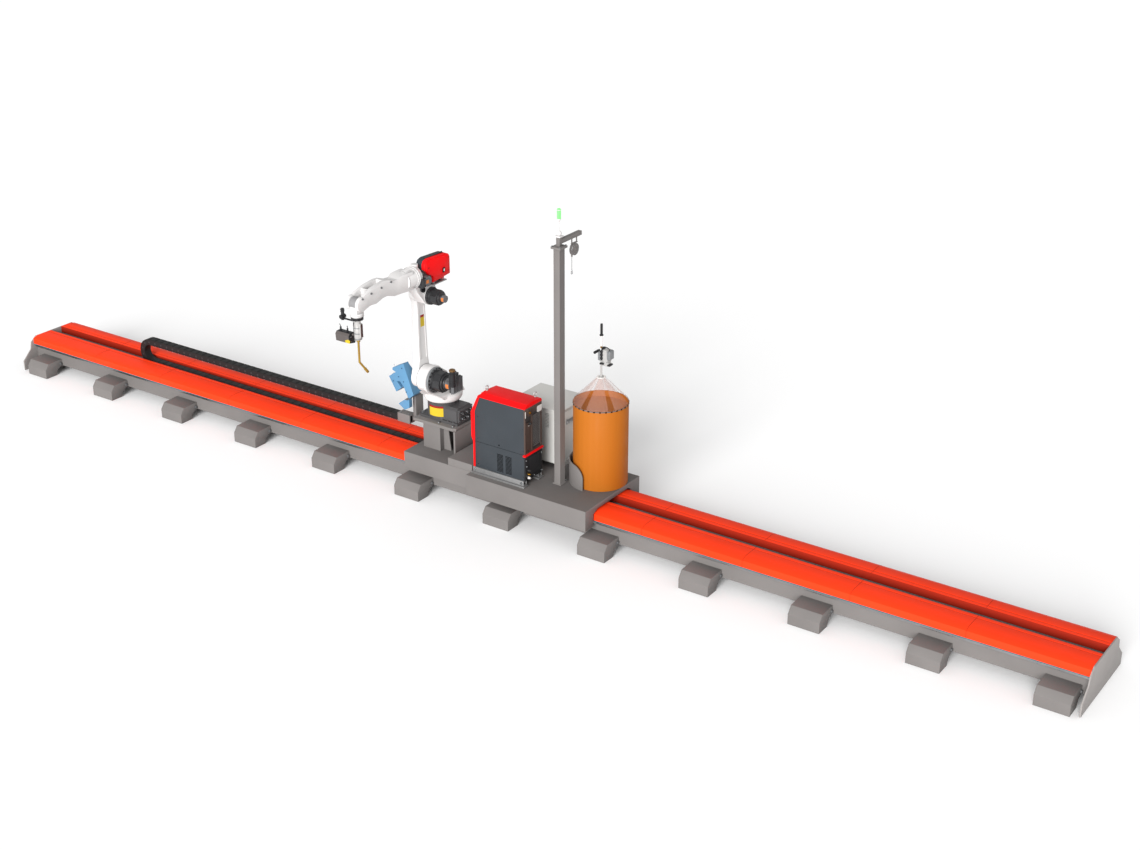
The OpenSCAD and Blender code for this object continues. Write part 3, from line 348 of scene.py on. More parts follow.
class Finish:
    """A procedural surface whose colour, roughness and relief come from noise on Object coordinates."""

    def __init__(self, name, colour, rough=0.5, metal=0.0, specular=0.5):
        self.material = bpy.data.materials.new(name)
        self.material.use_nodes = True
        self.tree = self.material.node_tree
        self.shader = self.tree.nodes["Principled BSDF"]
        self.colour = tuple(colour)
        self.rough = rough
        self.fill(self.shader, {"Base Color": (*self.colour, 1), "Roughness": rough, "Metallic": metal,
                                "Specular IOR Level": specular})
        self.coordinates = self.add("ShaderNodeTexCoord", {})["Object"]

    def fill(self, node, inputs):
        """Links a node's inputs to outputs of other nodes, or sets them to values."""
        for key, value in inputs.items():
            if isinstance(value, bpy.types.NodeSocket):
                self.tree.links.new(value, node.inputs[key])
            else:
                node.inputs[key].default_value = value

    def add(self, kind, inputs, **choices):
        """The outputs of a new node."""
        node = self.tree.nodes.new(kind)
        for key, value in choices.items():
            setattr(node, key, value)
        self.fill(node, inputs)
        return node.outputs

    def noise(self, scale, detail, stretch):
        """Noise in cycles per metre, stretched along the axes."""
        place = self.add("ShaderNodeMapping", {"Scale": stretch, "Vector": self.coordinates})
        return self.add("ShaderNodeTexNoise", {"Scale": scale, "Detail": detail, "Vector": place["Vector"]})["Fac"]

    def spread(self, source, low, high, out_low, out_high):
        """Maps a source's range to another, and clamps it."""
        return self.add("ShaderNodeMapRange", {"From Min": low, "From Max": high, "To Min": out_low,
                                               "To Max": out_high, "Value": source})["Result"]

    def mottle(self, scale, amount, stretch=(1, 1, 1), detail=3.0):
        """The colour drifts between itself and a darker one."""
        share = self.spread(self.noise(scale, detail, stretch), 0.35, 0.68, 0, 1)
        darker = (c * (1 - amount) for c in self.colour)
        mix = self.add("ShaderNodeMix", {"Factor": share, 6: (*self.colour, 1), 7: (*darker, 1)}, data_type="RGBA")
        self.fill(self.shader, {"Base Color": mix[2]})

    def uneven(self, scale, amount):
        """The roughness drifts round its mean."""
        noise = self.noise(scale, 3.0, (1, 1, 1))
        self.fill(self.shader, {"Roughness": self.spread(noise, 0.3, 0.7, self.rough - amount, self.rough + amount)})

    def petals(self, centre, count, first, gap, clear, tinted):
        """Clear and tinted sectors round an upright axis: the angle in turns, times the count, less its whole
        part. Angles in degrees."""
        place = self.add("ShaderNodeMapping", {"Location": (-centre[0], -centre[1], 0), "Vector": self.coordinates})
        value = self.add("ShaderNodeTexGradient", {"Vector": place["Vector"]}, gradient_type="RADIAL")["Fac"]
        shift = 0.5 - (first / 360 + 0.5) * count % 1
        for operation, b, c in (("MULTIPLY_ADD", count, shift), ("FRACT", 0, 0), ("SUBTRACT", 0.5, 0),
                                ("ABSOLUTE", 0, 0)):
            value = self.add("ShaderNodeMath", {0: value, 1: b, 2: c}, operation=operation)[0]
        half, blur = gap * count / 720, 0.006
        self.fill(self.shader, {"Alpha": self.spread(value, half - blur, half + blur, clear, tinted)})

    def bumpy(self, scale, depth, stretch=(1, 1, 1)):
        """A fine relief, depth in micrometres."""
        height = self.noise(scale, 2.0, stretch)
        relief = self.add("ShaderNodeBump", {"Strength": 1.0, "Distance": depth / 1e6, "Height": height})
        self.fill(self.shader, {"Normal": relief["Normal"]})


def srgb(r, g, b):
    """A colour given as 0 to 255 on a screen, as linear light."""
    c = np.array([r, g, b]) / 255
    return tuple(float(x) for x in np.where(c < 0.04045, c / 12.92, ((c + 0.055) / 1.055) ** 2.4))


# A row has a key, the material's name, its screen colour or a share of one of the station's paints, roughness,
# metallic and specular shares, scale and amount of the colour's drift and of the roughness's, and scale and depth
# of a relief where there is one. A third member stretches that noise along the axes, and a fourth is its detail.
FINISHES = (
    ("frame", "frame_paint", ("frame", 1), 0.62, 0, 0.3, (2.3, 0.1), (6, 0.06), (420, 60)),
    ("hood", "hood_paint", ("hood", 1), 0.6, 0, 0.15, (1.1, 0.06), (3, 0.05), (520, 40)),
    ("rail", "ground_rail_steel", (150, 152, 154), 0.32, 1, 0.5, (5, 0.15, (0.05, 1, 1)), (8, 0.08)),
    # Painted light: the frame paint made lighter for the end plates, standing in for their lit outer faces
    ("end_plate", "end_plate_paint", ("frame", 1.75), 0.62, 0, 0.3, (2.3, 0.08), (6, 0.06)),
    # Painted highlight: the teal of the strips under the hoods' lower edges copies an edge highlight; the strips
    # stand for rubber seals
    ("seal", "hood_seal_rubber", (62, 112, 120), 0.7, 0, 0.2, (6, 0.15), (12, 0.06)),
    # Painted shade: a darker copy of the frame paint for upward faces, standing in for the shade on tops
    ("frame_top", "walkway_paint", ("frame", 0.82), 0.66, 0, 0.25, (2.3, 0.1), (6, 0.06)),
    # Painted shade: a darker red standing in for the shade on the hoods' walls down in the trough
    ("hood_shade", "hood_inner_paint", (150, 34, 16), 0.7, 0, 0.1, (2, 0.08), (5, 0.05)),
    # Painted shade: a mid grey for the wrist's upper part, standing in for shade in the fork; also the colour of its
    # seam rings
    ("wrist", "wrist_paint", (132, 131, 132), 0.42, 0, 0.35, (8, 0.06), (12, 0.05)),
    ("hood_gap", "hood_joint_shade", (150, 30, 8), 0.7, 0, 0.1, (8, 0.1), (9, 0.05)),
    ("chain", "chain_plastic", (26, 25, 25), 0.55, 0, 0.25, (9, 0.25), (14, 0.08), (300, 80)),
    ("cleaner", "cleaner_paint", ("cleaner", 1), 0.5, 0, 0.3, (6, 0.08), (9, 0.05), (480, 50)),
    ("slate", "slate_paint", (48, 53, 58), 0.5, 0, 0.3, (4, 0.1), (7, 0.06), (700, 70)),
    ("red", "machine_red_paint", ("machine", 1), 0.5, 0, 0.12, (3, 0.05), (6, 0.05), (400, 30)),
    ("brown", "rear_frame_paint", (72, 58, 52), 0.5, 0, 0.3, (6, 0.12), (9, 0.06), (500, 60)),
    ("panel", "rear_panel_paint", (52, 50, 50), 0.5, 0, 0.3, (9, 0.12), (9, 0.05)),
    ("mesh", "grille_steel", (100, 96, 94), 0.45, 0.2, 0.5, (40, 0.12), (30, 0.08)),
    ("sensor", "sensor_housing", (84, 78, 76), 0.5, 0, 0.3, (12, 0.1), (16, 0.06), (500, 60)),
    ("strip", "torch_strip_plastic", (62, 38, 36), 0.5, 0, 0.3, (20, 0.12), (20, 0.06)),
    ("cap", "plug_cap_brass", (118, 88, 52), 0.45, 0.6, 0.5, (30, 0.15), (20, 0.06)),
    ("cleaner_dark", "cleaner_screw_paint", (52, 86, 112), 0.5, 0, 0.3, (12, 0.08), (16, 0.05)),
    ("black", "black_paint", (30, 30, 32), 0.45, 0, 0.3, (8, 0.2), (12, 0.08), (350, 80)),
    ("silver", "galvanised_steel", (150, 150, 150), 0.42, 0.7, 0.5, (24, 0.12, (1, 1, 1), 4), (30, 0.1)),
    ("cabinet", "cabinet_paint", (204, 203, 199), 0.6, 0, 0.3, (2, 0.03), (5, 0.05), (900, 60)),
    ("robot", "robot_paint", ("robot", 1), 0.42, 0, 0.35, (5, 0.04), (9, 0.05), (160, 50)),
    ("robot_grey", "robot_grey_paint", (70, 69, 70), 0.5, 0, 0.3, (6, 0.12), (9, 0.06), (300, 70)),
    ("motor", "motor_housing", (40, 40, 42), 0.42, 0, 0.4, (16, 0.2), (18, 0.1), (420, 80)),
    ("motor_grey", "motor_cast_grey", (92, 92, 94), 0.45, 0, 0.4, (16, 0.15), (18, 0.1), (420, 80)),
    ("drum", "drum_fibreboard", ("drum", 1), 0.6, 0, 0.15, (3, 0.06, (1, 1, 0.25)), (8, 0.06),
     (90, 100, (1, 1, 0.12))),
    ("drum_lid", "drum_lid_board", (172, 106, 50), 0.7, 0, 0.2, (7, 0.15), (8, 0.06), (200, 100)),
    ("brass", "brass", (176, 130, 50), 0.28, 1, 0.5, (60, 0.15), (50, 0.08)),
    ("gold", "torch_neck_brass", (186, 150, 66), 0.35, 0.9, 0.5, (60, 0.15), (50, 0.08)),
    ("steel", "zinc_plated_steel", (160, 162, 164), 0.35, 1, 0.5, (70, 0.15), (60, 0.1)),
    ("bright", "bright_cast_metal", (176, 174, 172), 0.4, 0.25, 0.5, (40, 0.08), (40, 0.08)),
    ("cast", "cast_aluminium", (132, 134, 136), 0.45, 0.5, 0.5, (40, 0.12), (40, 0.08), (300, 80)),
    ("yellow", "label_yellow", (192, 166, 38), 0.5, 0, 0.2, (20, 0.05), (20, 0.05)),
    ("label_red", "label_red", (140, 24, 20), 0.5, 0, 0.2, (20, 0.08), (20, 0.05)),
    ("label_orange", "label_orange", (196, 112, 54), 0.5, 0, 0.2, (30, 0.1), (20, 0.05)),
    ("dark", "dark_gap", (14, 14, 15), 0.8, 0, 0.1, (30, 0.2), (20, 0.05)),
    ("rope", "wire_rope", (100, 100, 100), 0.4, 0.8, 0.5, (500, 0.5, (1, 1, 0.4)), (300, 0.1)),
    ("clear", "clear_hood_plastic", (192, 152, 140), 0.25, 0, 0.3, (4, 0.06), (12, 0.06)),
    ("rim", "hood_rim_plastic", (214, 210, 206), 0.3, 0, 0.5, (6, 0.05), (12, 0.06)),
    ("lamp", "lamp_green_plastic", (112, 220, 112), 0.3, 0, 0.5, (30, 0.08), (20, 0.06)),
)


def make_finishes(colours):
    """One material for each finish of the station."""
    for key, name, colour, rough, metal, specular, mottle, uneven, *relief in FINISHES:
        if len(colour) == 2:
            colour = [colour[1] * c for c in getattr(colours, colour[0])]
        else:
            colour = srgb(*colour)
        surface = finish[key] = Finish(name, colour, rough, metal, specular)
        surface.mottle(*mottle)
        surface.uneven(*uneven)
        for bumps in relief:
            surface.bumpy(*bumps)
    glow = finish["lamp"].shader.inputs
    glow["Emission Color"].default_value = (*srgb(120, 250, 120), 1)
    glow["Emission Strength"].default_value = 0.35


# ---- settings ------------------------------------------------------------

class StationColours(bpy.types.PropertyGroup):
    """Paint colours of the station."""
    frame: FloatVectorProperty(name="Frame paint", description="Paint of the rail bed, carriage and mast",
                               subtype="COLOR", size=3, min=0, max=1, default=srgb(112, 108, 106))
    hood: FloatVectorProperty(name="Hood paint", description="Paint of the two folded hoods over the rails",
                              subtype="COLOR", size=3, min=0, max=1, default=srgb(244, 57, 15))
    robot: FloatVectorProperty(name="Robot paint", description="Paint of the robot's castings",
                               subtype="COLOR", size=3, min=0, max=1, default=srgb(208, 206, 205))
    machine: FloatVectorProperty(name="Power source paint",
                                 description="Paint of the power source's lid and of the feeder's door",
                                 subtype="COLOR", size=3, min=0, max=1, default=srgb(226, 10, 14))
    drum: FloatVectorProperty(name="Drum print", description="Printed paper round the wire drum",
                              subtype="COLOR", size=3, min=0, max=1, default=srgb(168, 95, 23))
    cleaner: FloatVectorProperty(name="Cleaner paint", description="Paint of the torch cleaner",
                                 subtype="COLOR", size=3, min=0, max=1, default=srgb(84, 130, 164))


class StationStage(bpy.types.PropertyGroup):
    """Camera and light."""
    azimuth: FloatProperty(name="Camera azimuth", description="Direction the camera looks from, round the station",
                           subtype="ANGLE", default=math.radians(34.63))
    elevation: FloatProperty(name="Camera elevation", description="Height of the camera over the horizon",
                             subtype="ANGLE", default=math.radians(24.29))
    lens: FloatProperty(name="Lens", description="Focal length", subtype="DISTANCE_CAMERA",
                        default=54.5, min=10, max=300)
    place: FloatVectorProperty(name="Camera place", description="Where the camera stands", subtype="TRANSLATION",
                               unit="LENGTH", size=3, default=(9.2258, -11.8251, 7.4747))
    key: FloatProperty(name="Key light", description="Strength of the main light", default=4.4, min=0, max=20)
    sky: FloatProperty(name="Fill light", description="Strength of the even light all round",
                       default=0.62, min=0, max=10)


class StationSizes(bpy.types.PropertyGroup):
    """Sizes of the small fittings."""
    edge: FloatProperty(name="Edge rounding", description="Rounding on the edges of painted steel", unit="LENGTH",
                        default=0.0025, min=0.0002, max=0.01)
    foot_bolt: FloatProperty(name="Foot bolt", description="Thread diameter of the bolts that hold the feet",
                             unit="LENGTH", default=0.016, min=0.006, max=0.03)


class StationOperator:
    """What all the station's operators share."""
    bl_options = {"REGISTER", "UNDO"}


def toward(azimuth, elevation):
    """The direction from the station to a place seen under an azimuth and an elevation."""
    return Vector((math.sin(azimuth) * math.cos(elevation), -math.cos(azimuth) * math.cos(elevation),
                   math.sin(elevation)))


def aim(obj, direction, axis):
    """Turns an object so that its own axis points in a direction."""
    obj.rotation_mode = "QUATERNION"
    obj.rotation_quaternion = direction.to_track_quat(axis, "Y")


class STATION_OT_stage(StationOperator, bpy.types.Operator):
    """Sets up the camera, the pale floor and the soft studio light"""
    bl_idname = "station.stage"
    bl_label = "Stage"

    def execute(self, context):
        s = context.scene.station_stage
        camera = put(bpy.data.objects.new("camera", bpy.data.cameras.new("camera")))
        camera.data.sensor_width = 36
        camera.data.lens = s.lens
        camera.data.clip_end = 500
        camera.location = s.place
        aim(camera, -toward(s.azimuth, s.elevation), "-Z")
        context.scene.camera = camera

        make_finishes(context.scene.station_colours)
        white = Finish("studio_floor", srgb(252, 252, 252), 0.9, specular=0.1)
        white.mottle(0.4, 0.004)
        reach, below = 260.0, -0.0005
        mesh = bpy.data.meshes.new("floor")
        mesh.from_pydata([(x, y, below) for x, y in rectangle(-reach, -reach, reach, reach)], [], [(0, 1, 2, 3)])
        mesh.materials.append(white.material)
        put(bpy.data.objects.new("floor", mesh))

        context.scene.view_settings.view_transform = "Standard"
        world = bpy.data.worlds.new("studio")
        context.scene.world = world
        world.use_nodes = True
        world.node_tree.nodes["Background"].inputs["Color"].default_value = (1, 1, 1, 1)
        world.node_tree.nodes["Background"].inputs["Strength"].default_value = s.sky
        sun_azimuth, sun_elevation, sun_width = map(math.radians, (14, 19, 35))
        light = bpy.data.lights.new("key", "SUN")
        light.energy = s.key
        light.angle = sun_width
        aim(put(bpy.data.objects.new("key", light)), toward(sun_azimuth, sun_elevation), "Z")
        return {"FINISHED"}


class STATION_OT_surfaces(StationOperator, bpy.types.Operator):
    """Paints the CAD nodes and rounds their edges"""
    bl_idname = "station.surfaces"
    bl_label = "Painted surfaces"

    def execute(self, context):
        edge = 1000 * context.scene.station_sizes.edge
        for paint_name, width, nodes in (
                ("frame", edge, "front_beam rear_beam front_feet rear_feet cross_ties cable_tray carriage_frame "
                                "carriage_deck riser_box pedestal pedestal_plate chain_bracket cleaner_post mast"),
                ("frame", 1.5, "jib_arm balancer_reel"), ("frame", 1, "drum_cradle"),
                # Painted light: the end plates take the lighter end_plate finish instead of the frame paint
                ("hood", edge, "front_hood rear_hood"), ("end_plate", 1, "left_end_plate right_end_plate"),
                ("rail", 1, "guide_rails guide_blocks"), ("chain", 1, "cable_chain"),
                ("cleaner", 4, "torch_cleaner"), ("slate", edge, "power_source_case"),
                ("red", 4, "power_source_cover"), ("brown", 1.5, "power_source_rear"),
                ("black", 1.5, "water_cooler"), ("silver", 1, "power_source_skid"),
                ("cabinet", 2, "controller_cabinet"), ("silver", 2, "cabinet_handle"),
                ("steel", 0.5, "balancer_hook"), ("robot", 1, "signal_lamp"), ("drum", 1, "wire_drum"),
                ("clear", 0.4, "drum_hood"), ("robot_grey", 3, "robot_base"),
                ("robot", 4, "turret lower_arm elbow_housing"), ("motor", 1, "shoulder_motor elbow_motors"),
                ("red", 3, "wire_feeder"), ("robot", 5, "forearm"), ("robot", 3, "wrist"),
                ("bright", 0.8, "torch"), ("sensor", 3, "seam_sensor")):
            for node in nodes.split():
                finish_node(node, finish[paint_name].material, width)

        low, high = corners("drum_hood")
        centre = frame["nodes"]["drum_hood"].matrix_world.inverted() @ Vector((low + high) / 2000)
        finish["clear"].petals(centre, 6, -34.5, 14, 0.02, 0.15)
        for node, paint_name, inside in (
                ("power_source_case", "dark",
                 lambda x, y, z: (y > -349.4) & (y < -330) & (x > 478) & (x < 650) & (z < 700)),
                ("power_source_rear", "red", lambda x, y, z: z < 751.2),
                ("power_source_rear", "panel", lambda x, y, z: (x < 797.5) & (x > 796.5)),
                ("water_cooler", "brass", lambda x, y, z: (x > 805.1) & (z < 562) & (z > 520)),
                ("water_cooler", "motor", lambda x, y, z: (x > 805.1) & ((z > 562) | (z < 520))),
                ("wire_drum", "drum_lid", lambda x, y, z: z > 1222.3),
                # Painted shade: the tops of the carriage deck, frame and riser box take the darker frame_top finish
                ("carriage_deck", "frame_top", lambda x, y, z: z > 423),
                ("carriage_frame", "frame_top", lambda x, y, z: z > 409.5),
                ("riser_box", "frame_top", lambda x, y, z: z > 485.5),
                # Painted shade: the hood walls that face into the trough take the darker hood_shade red
                ("rear_hood", "hood_shade", lambda x, y, z: (y < 103.6) & (z < 357.2)),
                ("front_hood", "hood_shade", lambda x, y, z: (y > -53.6) & (z < 357.2)),
                # Painted shade: the wrist above 2170 mm is turned grey
                ("wrist", "wrist", lambda x, y, z: z > 2170),
                ("robot_base", "motor", lambda x, y, z: x > -149.5),
                ("shoulder_motor", "cast", lambda x, y, z: x < -352.8),
                ("shoulder_motor", "motor_grey",
                 lambda x, y, z: (x > -224.8) & (x < -171.5) & (abs(z - 1160) < 58.5) & (abs(y + 180) < 58.5)),
                ("shoulder_motor", "motor_grey", lambda x, y, z: x > -126.8),
                ("elbow_motors", "motor_grey", lambda x, y, z: (z > 2130) | ((z < 2070) & (x > -238.8))),
                ("wire_feeder", "slate", lambda x, y, z: (x < FEEDER_SPLIT - 0.5) & (z > 2139.5)),
                ("wire_feeder", "silver", lambda x, y, z: z < 2139.5),
                ("wire_feeder", "dark", lambda x, y, z: x > -329.8),
                ("signal_lamp", "lamp", lambda x, y, z: z > 2962.2),
                ("torch", "gold", lambda x, y, z: z < 1874.2),
                ("torch", "black", lambda x, y, z: (z > 2064.4) | (x < -451.5)),
                ("seam_sensor", "black", lambda x, y, z: (z > 1917.4) | ((x > -492.5) & (x < -481.5)))):
            paint(node, paint_name, inside)
        return {"FINISHED"}


class STATION_OT_balancer_cord(StationOperator, bpy.types.Operator):
    """Hangs the wire rope of the spring balancer in place of its CAD cord"""
    bl_idname = "station.balancer_cord"
    bl_label = "Balancer cord"

    def execute(self, context):
        low, high = np.array(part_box("balancer_cord"))
        x, y = (low[:2] + high[:2]) / 2
        length, diameter = high[2] - low[2], 0.004
        route = [(x, y, high[2] - length * t) for t in np.linspace(0, 1, 16)]
        shape = tube(1000 * np.array(route), 500 * diameter, 12, up=X)
        rope = piece("balancer_rope", shape, finish["rope"].material, "carriage")
        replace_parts(rope, "balancer_cord")
        return {"FINISHED"}


class STATION_OT_rail_fittings(StationOperator, bpy.types.Operator):
    """Joints between the hood sheets, a painted shade strip in the grooves along them, the hoods' rubber lips in a
    teal that is a painted edge highlight, and the bolts of the feet
    """
    bl_idname = "station.rail_fittings"
    bl_label = "Rail fittings"

    def execute(self, context):
        low, high = corners("cable_tray")
        sheets, over, under = 12, 0.6, -0.8
        at = [(low[0] + (high[0] - low[0]) * k / sheets, 0, 0) for k in range(1, sheets)]
        for name, side in (("front_hood", -1), ("rear_hood", 1)):
            (_, y0, bottom), (_, y1, top) = corners(name)
            outer, inner = (y0, y1) if side < 0 else (y1, y0)
            strip = [(outer + side * over, bottom), (outer + side * over, top - 19.7),
                     (outer - side * 58, top + over), (inner, top + over),
                     (inner, top + under), (outer - side * 57.8, top + under),
                     (outer + side * under, top - 20.4), (outer + side * under, bottom)]
            joint = copies(slab(strip, -1.5, 1.5, 0, 0.1), at)
            fit(name + "_sheet_joints", joint, "hood_gap", "track", 20)
            # Painted shade: a thin dark strip at the bottom of the CAD groove along the top of each hood
            seam = inner + side * 44
            groove_shade = rectangle(seam - 2.8, top - 3.4, seam + 2.8, top - 2.6)
            groove_shade = slab(groove_shade, low[0] + 2, high[0] - 2, 0, 0.2)
            fit(name + "_groove", groove_shade, "hood_gap", "track", 20)
        left = corners("front_feet")[0][0]
        feet, pitch, foot, size = 12, 1069, 296, 1000 * context.scene.station_sizes.foot_bolt
        bolts = []
        for x, way in ((left + foot, X), (left, LEFT)):
            spots = [(x + i * pitch, y, 118) for i in range(feet) for y in (-286, 286)]
            bolts.append(screws(spots, size, way, hex_bolt))
        fit("foot_bolts", bolts, "motor_grey", "track")
        # A thin strip under each hood's lower edge, as a rubber seal, coloured teal as a painted edge highlight
        lip = rectangle(-301.2, 269, -299.6, 274.8)
        lips = [slab([(side * y, z) for y, z in lip], low[0], high[0], 0, 0.3) for side in (1, -1)]
        fit("hood_seals", lips, "seal", "track")
        return {"FINISHED"}


class STATION_OT_chain_fittings(StationOperator, bpy.types.Operator):
    """Pins at the joints of the chain's links, and the lids across its upper run"""
    bl_idname = "station.chain_fittings"
    bl_label = "Chain pins and lids"

    def execute(self, context):
        low, high = corners("cable_chain")
        pitch, half, radius, above, below = 90, 32, 154, 39, 50
        bend = low[0] + radius
        upper = [(bend + i * pitch, high[2] - half) for i in range(above)]
        lower = [(bend + i * pitch, low[2] + half) for i in range(below)]
        a = np.radians(90 + 36 * np.arange(1, 5))
        turn = np.stack([bend + (radius - half) * np.cos(a), low[2] + radius + (radius - half) * np.sin(a)], 1)
        pin = [(12, -0.5), (12, 1.2), (9, 2.4), (4, 2.4), (4, 1.4)]
        pins = [copies(revolve(pin, axis=(0, way, 0), sides=16), [(x, y, z) for x, z in (*upper, *lower, *turn)])
                for y, way in ((low[1], -1), (high[1], 1))]
        fit("chain_pins", pins, "motor")
        lid = block((14, low[1] + 6, high[2] - 0.5), (76, high[1] - 6, high[2] + 1.6), 0.7)
        fit("chain_lids", copies(lid, [(x, 0, 0) for x, _ in upper[:-1]]), "chain")
        return {"FINISHED"}


class STATION_OT_carriage_bolts(StationOperator, bpy.types.Operator):
    """Bolts of the mast, robot foot, pedestal, power source's rails and chain bracket, with the bracket's slot"""
    bl_idname = "station.carriage_bolts"
    bl_label = "Carriage bolts"

    def execute(self, context):
        foot, head = corners("mast")[0][2] + 10, corners("mast")[1][2]
        ends = [(MAST_X + side * 29, MAST_Y + 55, foot) for side in (-1, 1)]
        tops = [(MAST_X + dx, MAST_Y + dy, head) for dx in (-40, 40) for dy in (-47, 47)]
        fit("mast_bolts", [screws(ends, 12, Z, hex_bolt), screws(tops, 10, Z, hex_bolt)], "steel")
        z = corners("robot_base")[0][2] + 25
        large = [(-601, y, z) for y in (-88, 0, 88)]
        small = [(x, y, z) for x in (-335, -270, -205) for y in (-125, 125)]
        fit("robot_foot_bolts", [screws(large, 16, Z, hex_bolt), screws(small, 9, Z, hex_bolt)], "steel")
        right, _, top = corners("pedestal_plate")[1]
        spots = [(right - inset, y, top) for inset in (50, 220) for y in (-165, 165)]
        fit("pedestal_bolts", screws(spots, 14, Z), "steel")
        low, high = corners("power_source_skid")
        spots = [(x, low[1] + 24, high[2] - 24) for x in (low[0] + 35, high[0] - 45)]
        fit("skid_bolts", screws(spots, 12, FRONT, hex_bolt), "steel")
        (x, y0, _), (_, y1, top) = corners("chain_bracket")
        right = -836
        slot = label((y0 + 26, 566), 26, 66, 4, right, -2)
        fit("chain_box_slot", slot, "dark")
        spots = [(right - 30, y0 + 20, top), (x + 30, y0 + 20, top), (x + 30, y1 - 20, top)]
        fit("chain_box_bolts", screws(spots, 10, Z, hex_bolt), "steel")
        return {"FINISHED"}


class STATION_OT_power_source(StationOperator, bpy.types.Operator):
    """Lifting eyes, rear grille, fittings and screws of the welding power source"""
    bl_idname = "station.power_source"
    bl_label = "Power source fittings"

    def execute(self, context):
        face, deep, front = 805, 797, -350
        eyes = []
        for x, y, z in ((305, -252, 1240.5), (751, -112, 1235.5)):
            eyes += [revolve([(13, 0), (13, 4), (8, 7), (6, 12)], (x, y, z), sides=20),
                     torus((x, y, z + 28), (1, -0.15, 0), 17.5, 6.2)]
        fit("lifting_eyes", eyes, "bright", smooth=50)

        bars = [lattice((-172, 945), 104, 300, 25, 1.7, deep + 3.5)]
        bars += [block((deep, y0, z0), (deep + 5.5, y1, z1), 0.8) for y0, y1, z0, z1 in (
            (-228, -222, 790, 1100), (-122, -116, 790, 1100),
            (-228, -116, 1094, 1100), (-228, -116, 790, 796))]
        fit("rear_grille", bars, "mesh")
        side = [(-333, 768), (-248, 768), (-248, 1020), (-262, 1045), (-333, 1045)]
        fit("rear_side_panel", slab(side, deep - 1, deep + 1.6, 0, 0.4), "brown")
        stile = block((deep - 1, -247.5, 767), (face + 1, -234.5, 1134), 0.8)
        shelf = block((deep - 1, -334, 1046), (face + 0.5, -247.5, 1056), 0.8)
        bracket = block((face - 1, -306, 1118), (face + 7, -262, 1186), 1)
        fit("rear_stiles", [stile, shelf, bracket], "brown")
        knob = revolve([(16, 0), (16, 4), (11, 6), (10.5, 26), (9, 28)], (deep, -283, 1044), X, 24)
        holes = [revolve([(6, 0), (6, 1.2)], (face, y, z), X, 16) for y, z in (
            (-342, 1100), (-342, 960), (-94, 1080), (-94, 800), (-210, 775), (-300, 775))]
        fit("rear_knob", [knob, *holes], "black", smooth=40)
        plate = [(-161, 1118), (-148, 1109), (-98, 1109), (-88, 1126), (-88, 1170), (-150, 1170), (-161, 1156)]
        plates = [slab(plate, face - 1, face + 2, 0, 0.4),
                  label((-341, 1145), 10, 62, 3, face, -1, 2, 0.4),
                  label((-283, 1018), 18, 6, 2, deep, -1, 2, 0.4)]
        fit("rear_plates", plates, "rim")
        water = [(12.5, 0), (12.5, 10), (10, 12), (10, 22), (6, 22), (6, 16)]
        fit("water_inlet", revolve(water, (face, -304, 505), X, 20), "rim", smooth=40)
        gas = [(13, 0), (13, 4), (9, 6), (9, 14), (6, 14), (6, 10)]
        fit("gas_inlet", revolve(gas, (face + 6, -284, 1152), X, 20), "brass", smooth=40)
        spots = [(face, y, z) for y, z in ((-339, 690), (-332, 628), (-100, 690), (-100, 506), (-215, 500))]
        fit("rear_screws", screws(spots, 9), "steel")
        panel = label((-205, 615), 150, 170, 6, face, -1, 1.2, 0.4)
        fit("cooler_panel", panel, "motor")

        seam = block((233.5, front - 0.6, 743.5), (face - 14, front + 1, 746.5), 0.2)
        lock = revolve([(7.5, 0), (7.5, 1.4), (6, 2), (3.5, 2), (3.5, 0.8)], (507, front, 772), FRONT, 20)
        fit("case_seam", [seam, lock], "dark")
        fit("face_seam", block((207.4, front - 4.6, 742), (230, -81.4, 745), 0.3), "dark")
        spots = [(x, front - 0.2, z) for x in (262, 780) for z in (520, 710, 780, 1000)]
        fit("case_screws", screws(spots, 5, FRONT), "slate")
        return {"FINISHED"}


class STATION_OT_drum_fittings(StationOperator, bpy.types.Operator):
    """Rim band and clamps of the wire drum, and the ring at the tip of its clear hood"""
    bl_idname = "station.drum_fittings"
    bl_label = "Drum fittings"

    def execute(self, context):
        low, high = corners("wire_drum")
        x, y = middle("wire_drum")
        r, top = (high[0] - low[0]) / 2, high[2]
        band = hoop(rectangle(r - 1, top - 11, r + 1.2, top - 1), (x, y, 0), sides=96)
        fit("drum_rim_band", band, "motor_grey", smooth=60)
        clamps = [wrap_plate((x, y, top - 13), Z, r + 0.5, 3.5, (a, a + 3.2), (0, 12.5), 4)
                  for a in range(0, 360, 12)]
        fit("drum_rim_clamps", clamps, "dark")
        tip = corners("drum_hood")[1][2]
        ring = hoop([(24, -1), (43, -1), (45, 1), (44, 4), (24, 4)], (x, y, tip))
        caps = screws(circle_of((x, y, tip + 4), Z, 35, 6), 5, Z)
        fit("hood_tip_ring", [ring, caps], "rim", smooth=40)
        return {"FINISHED"}


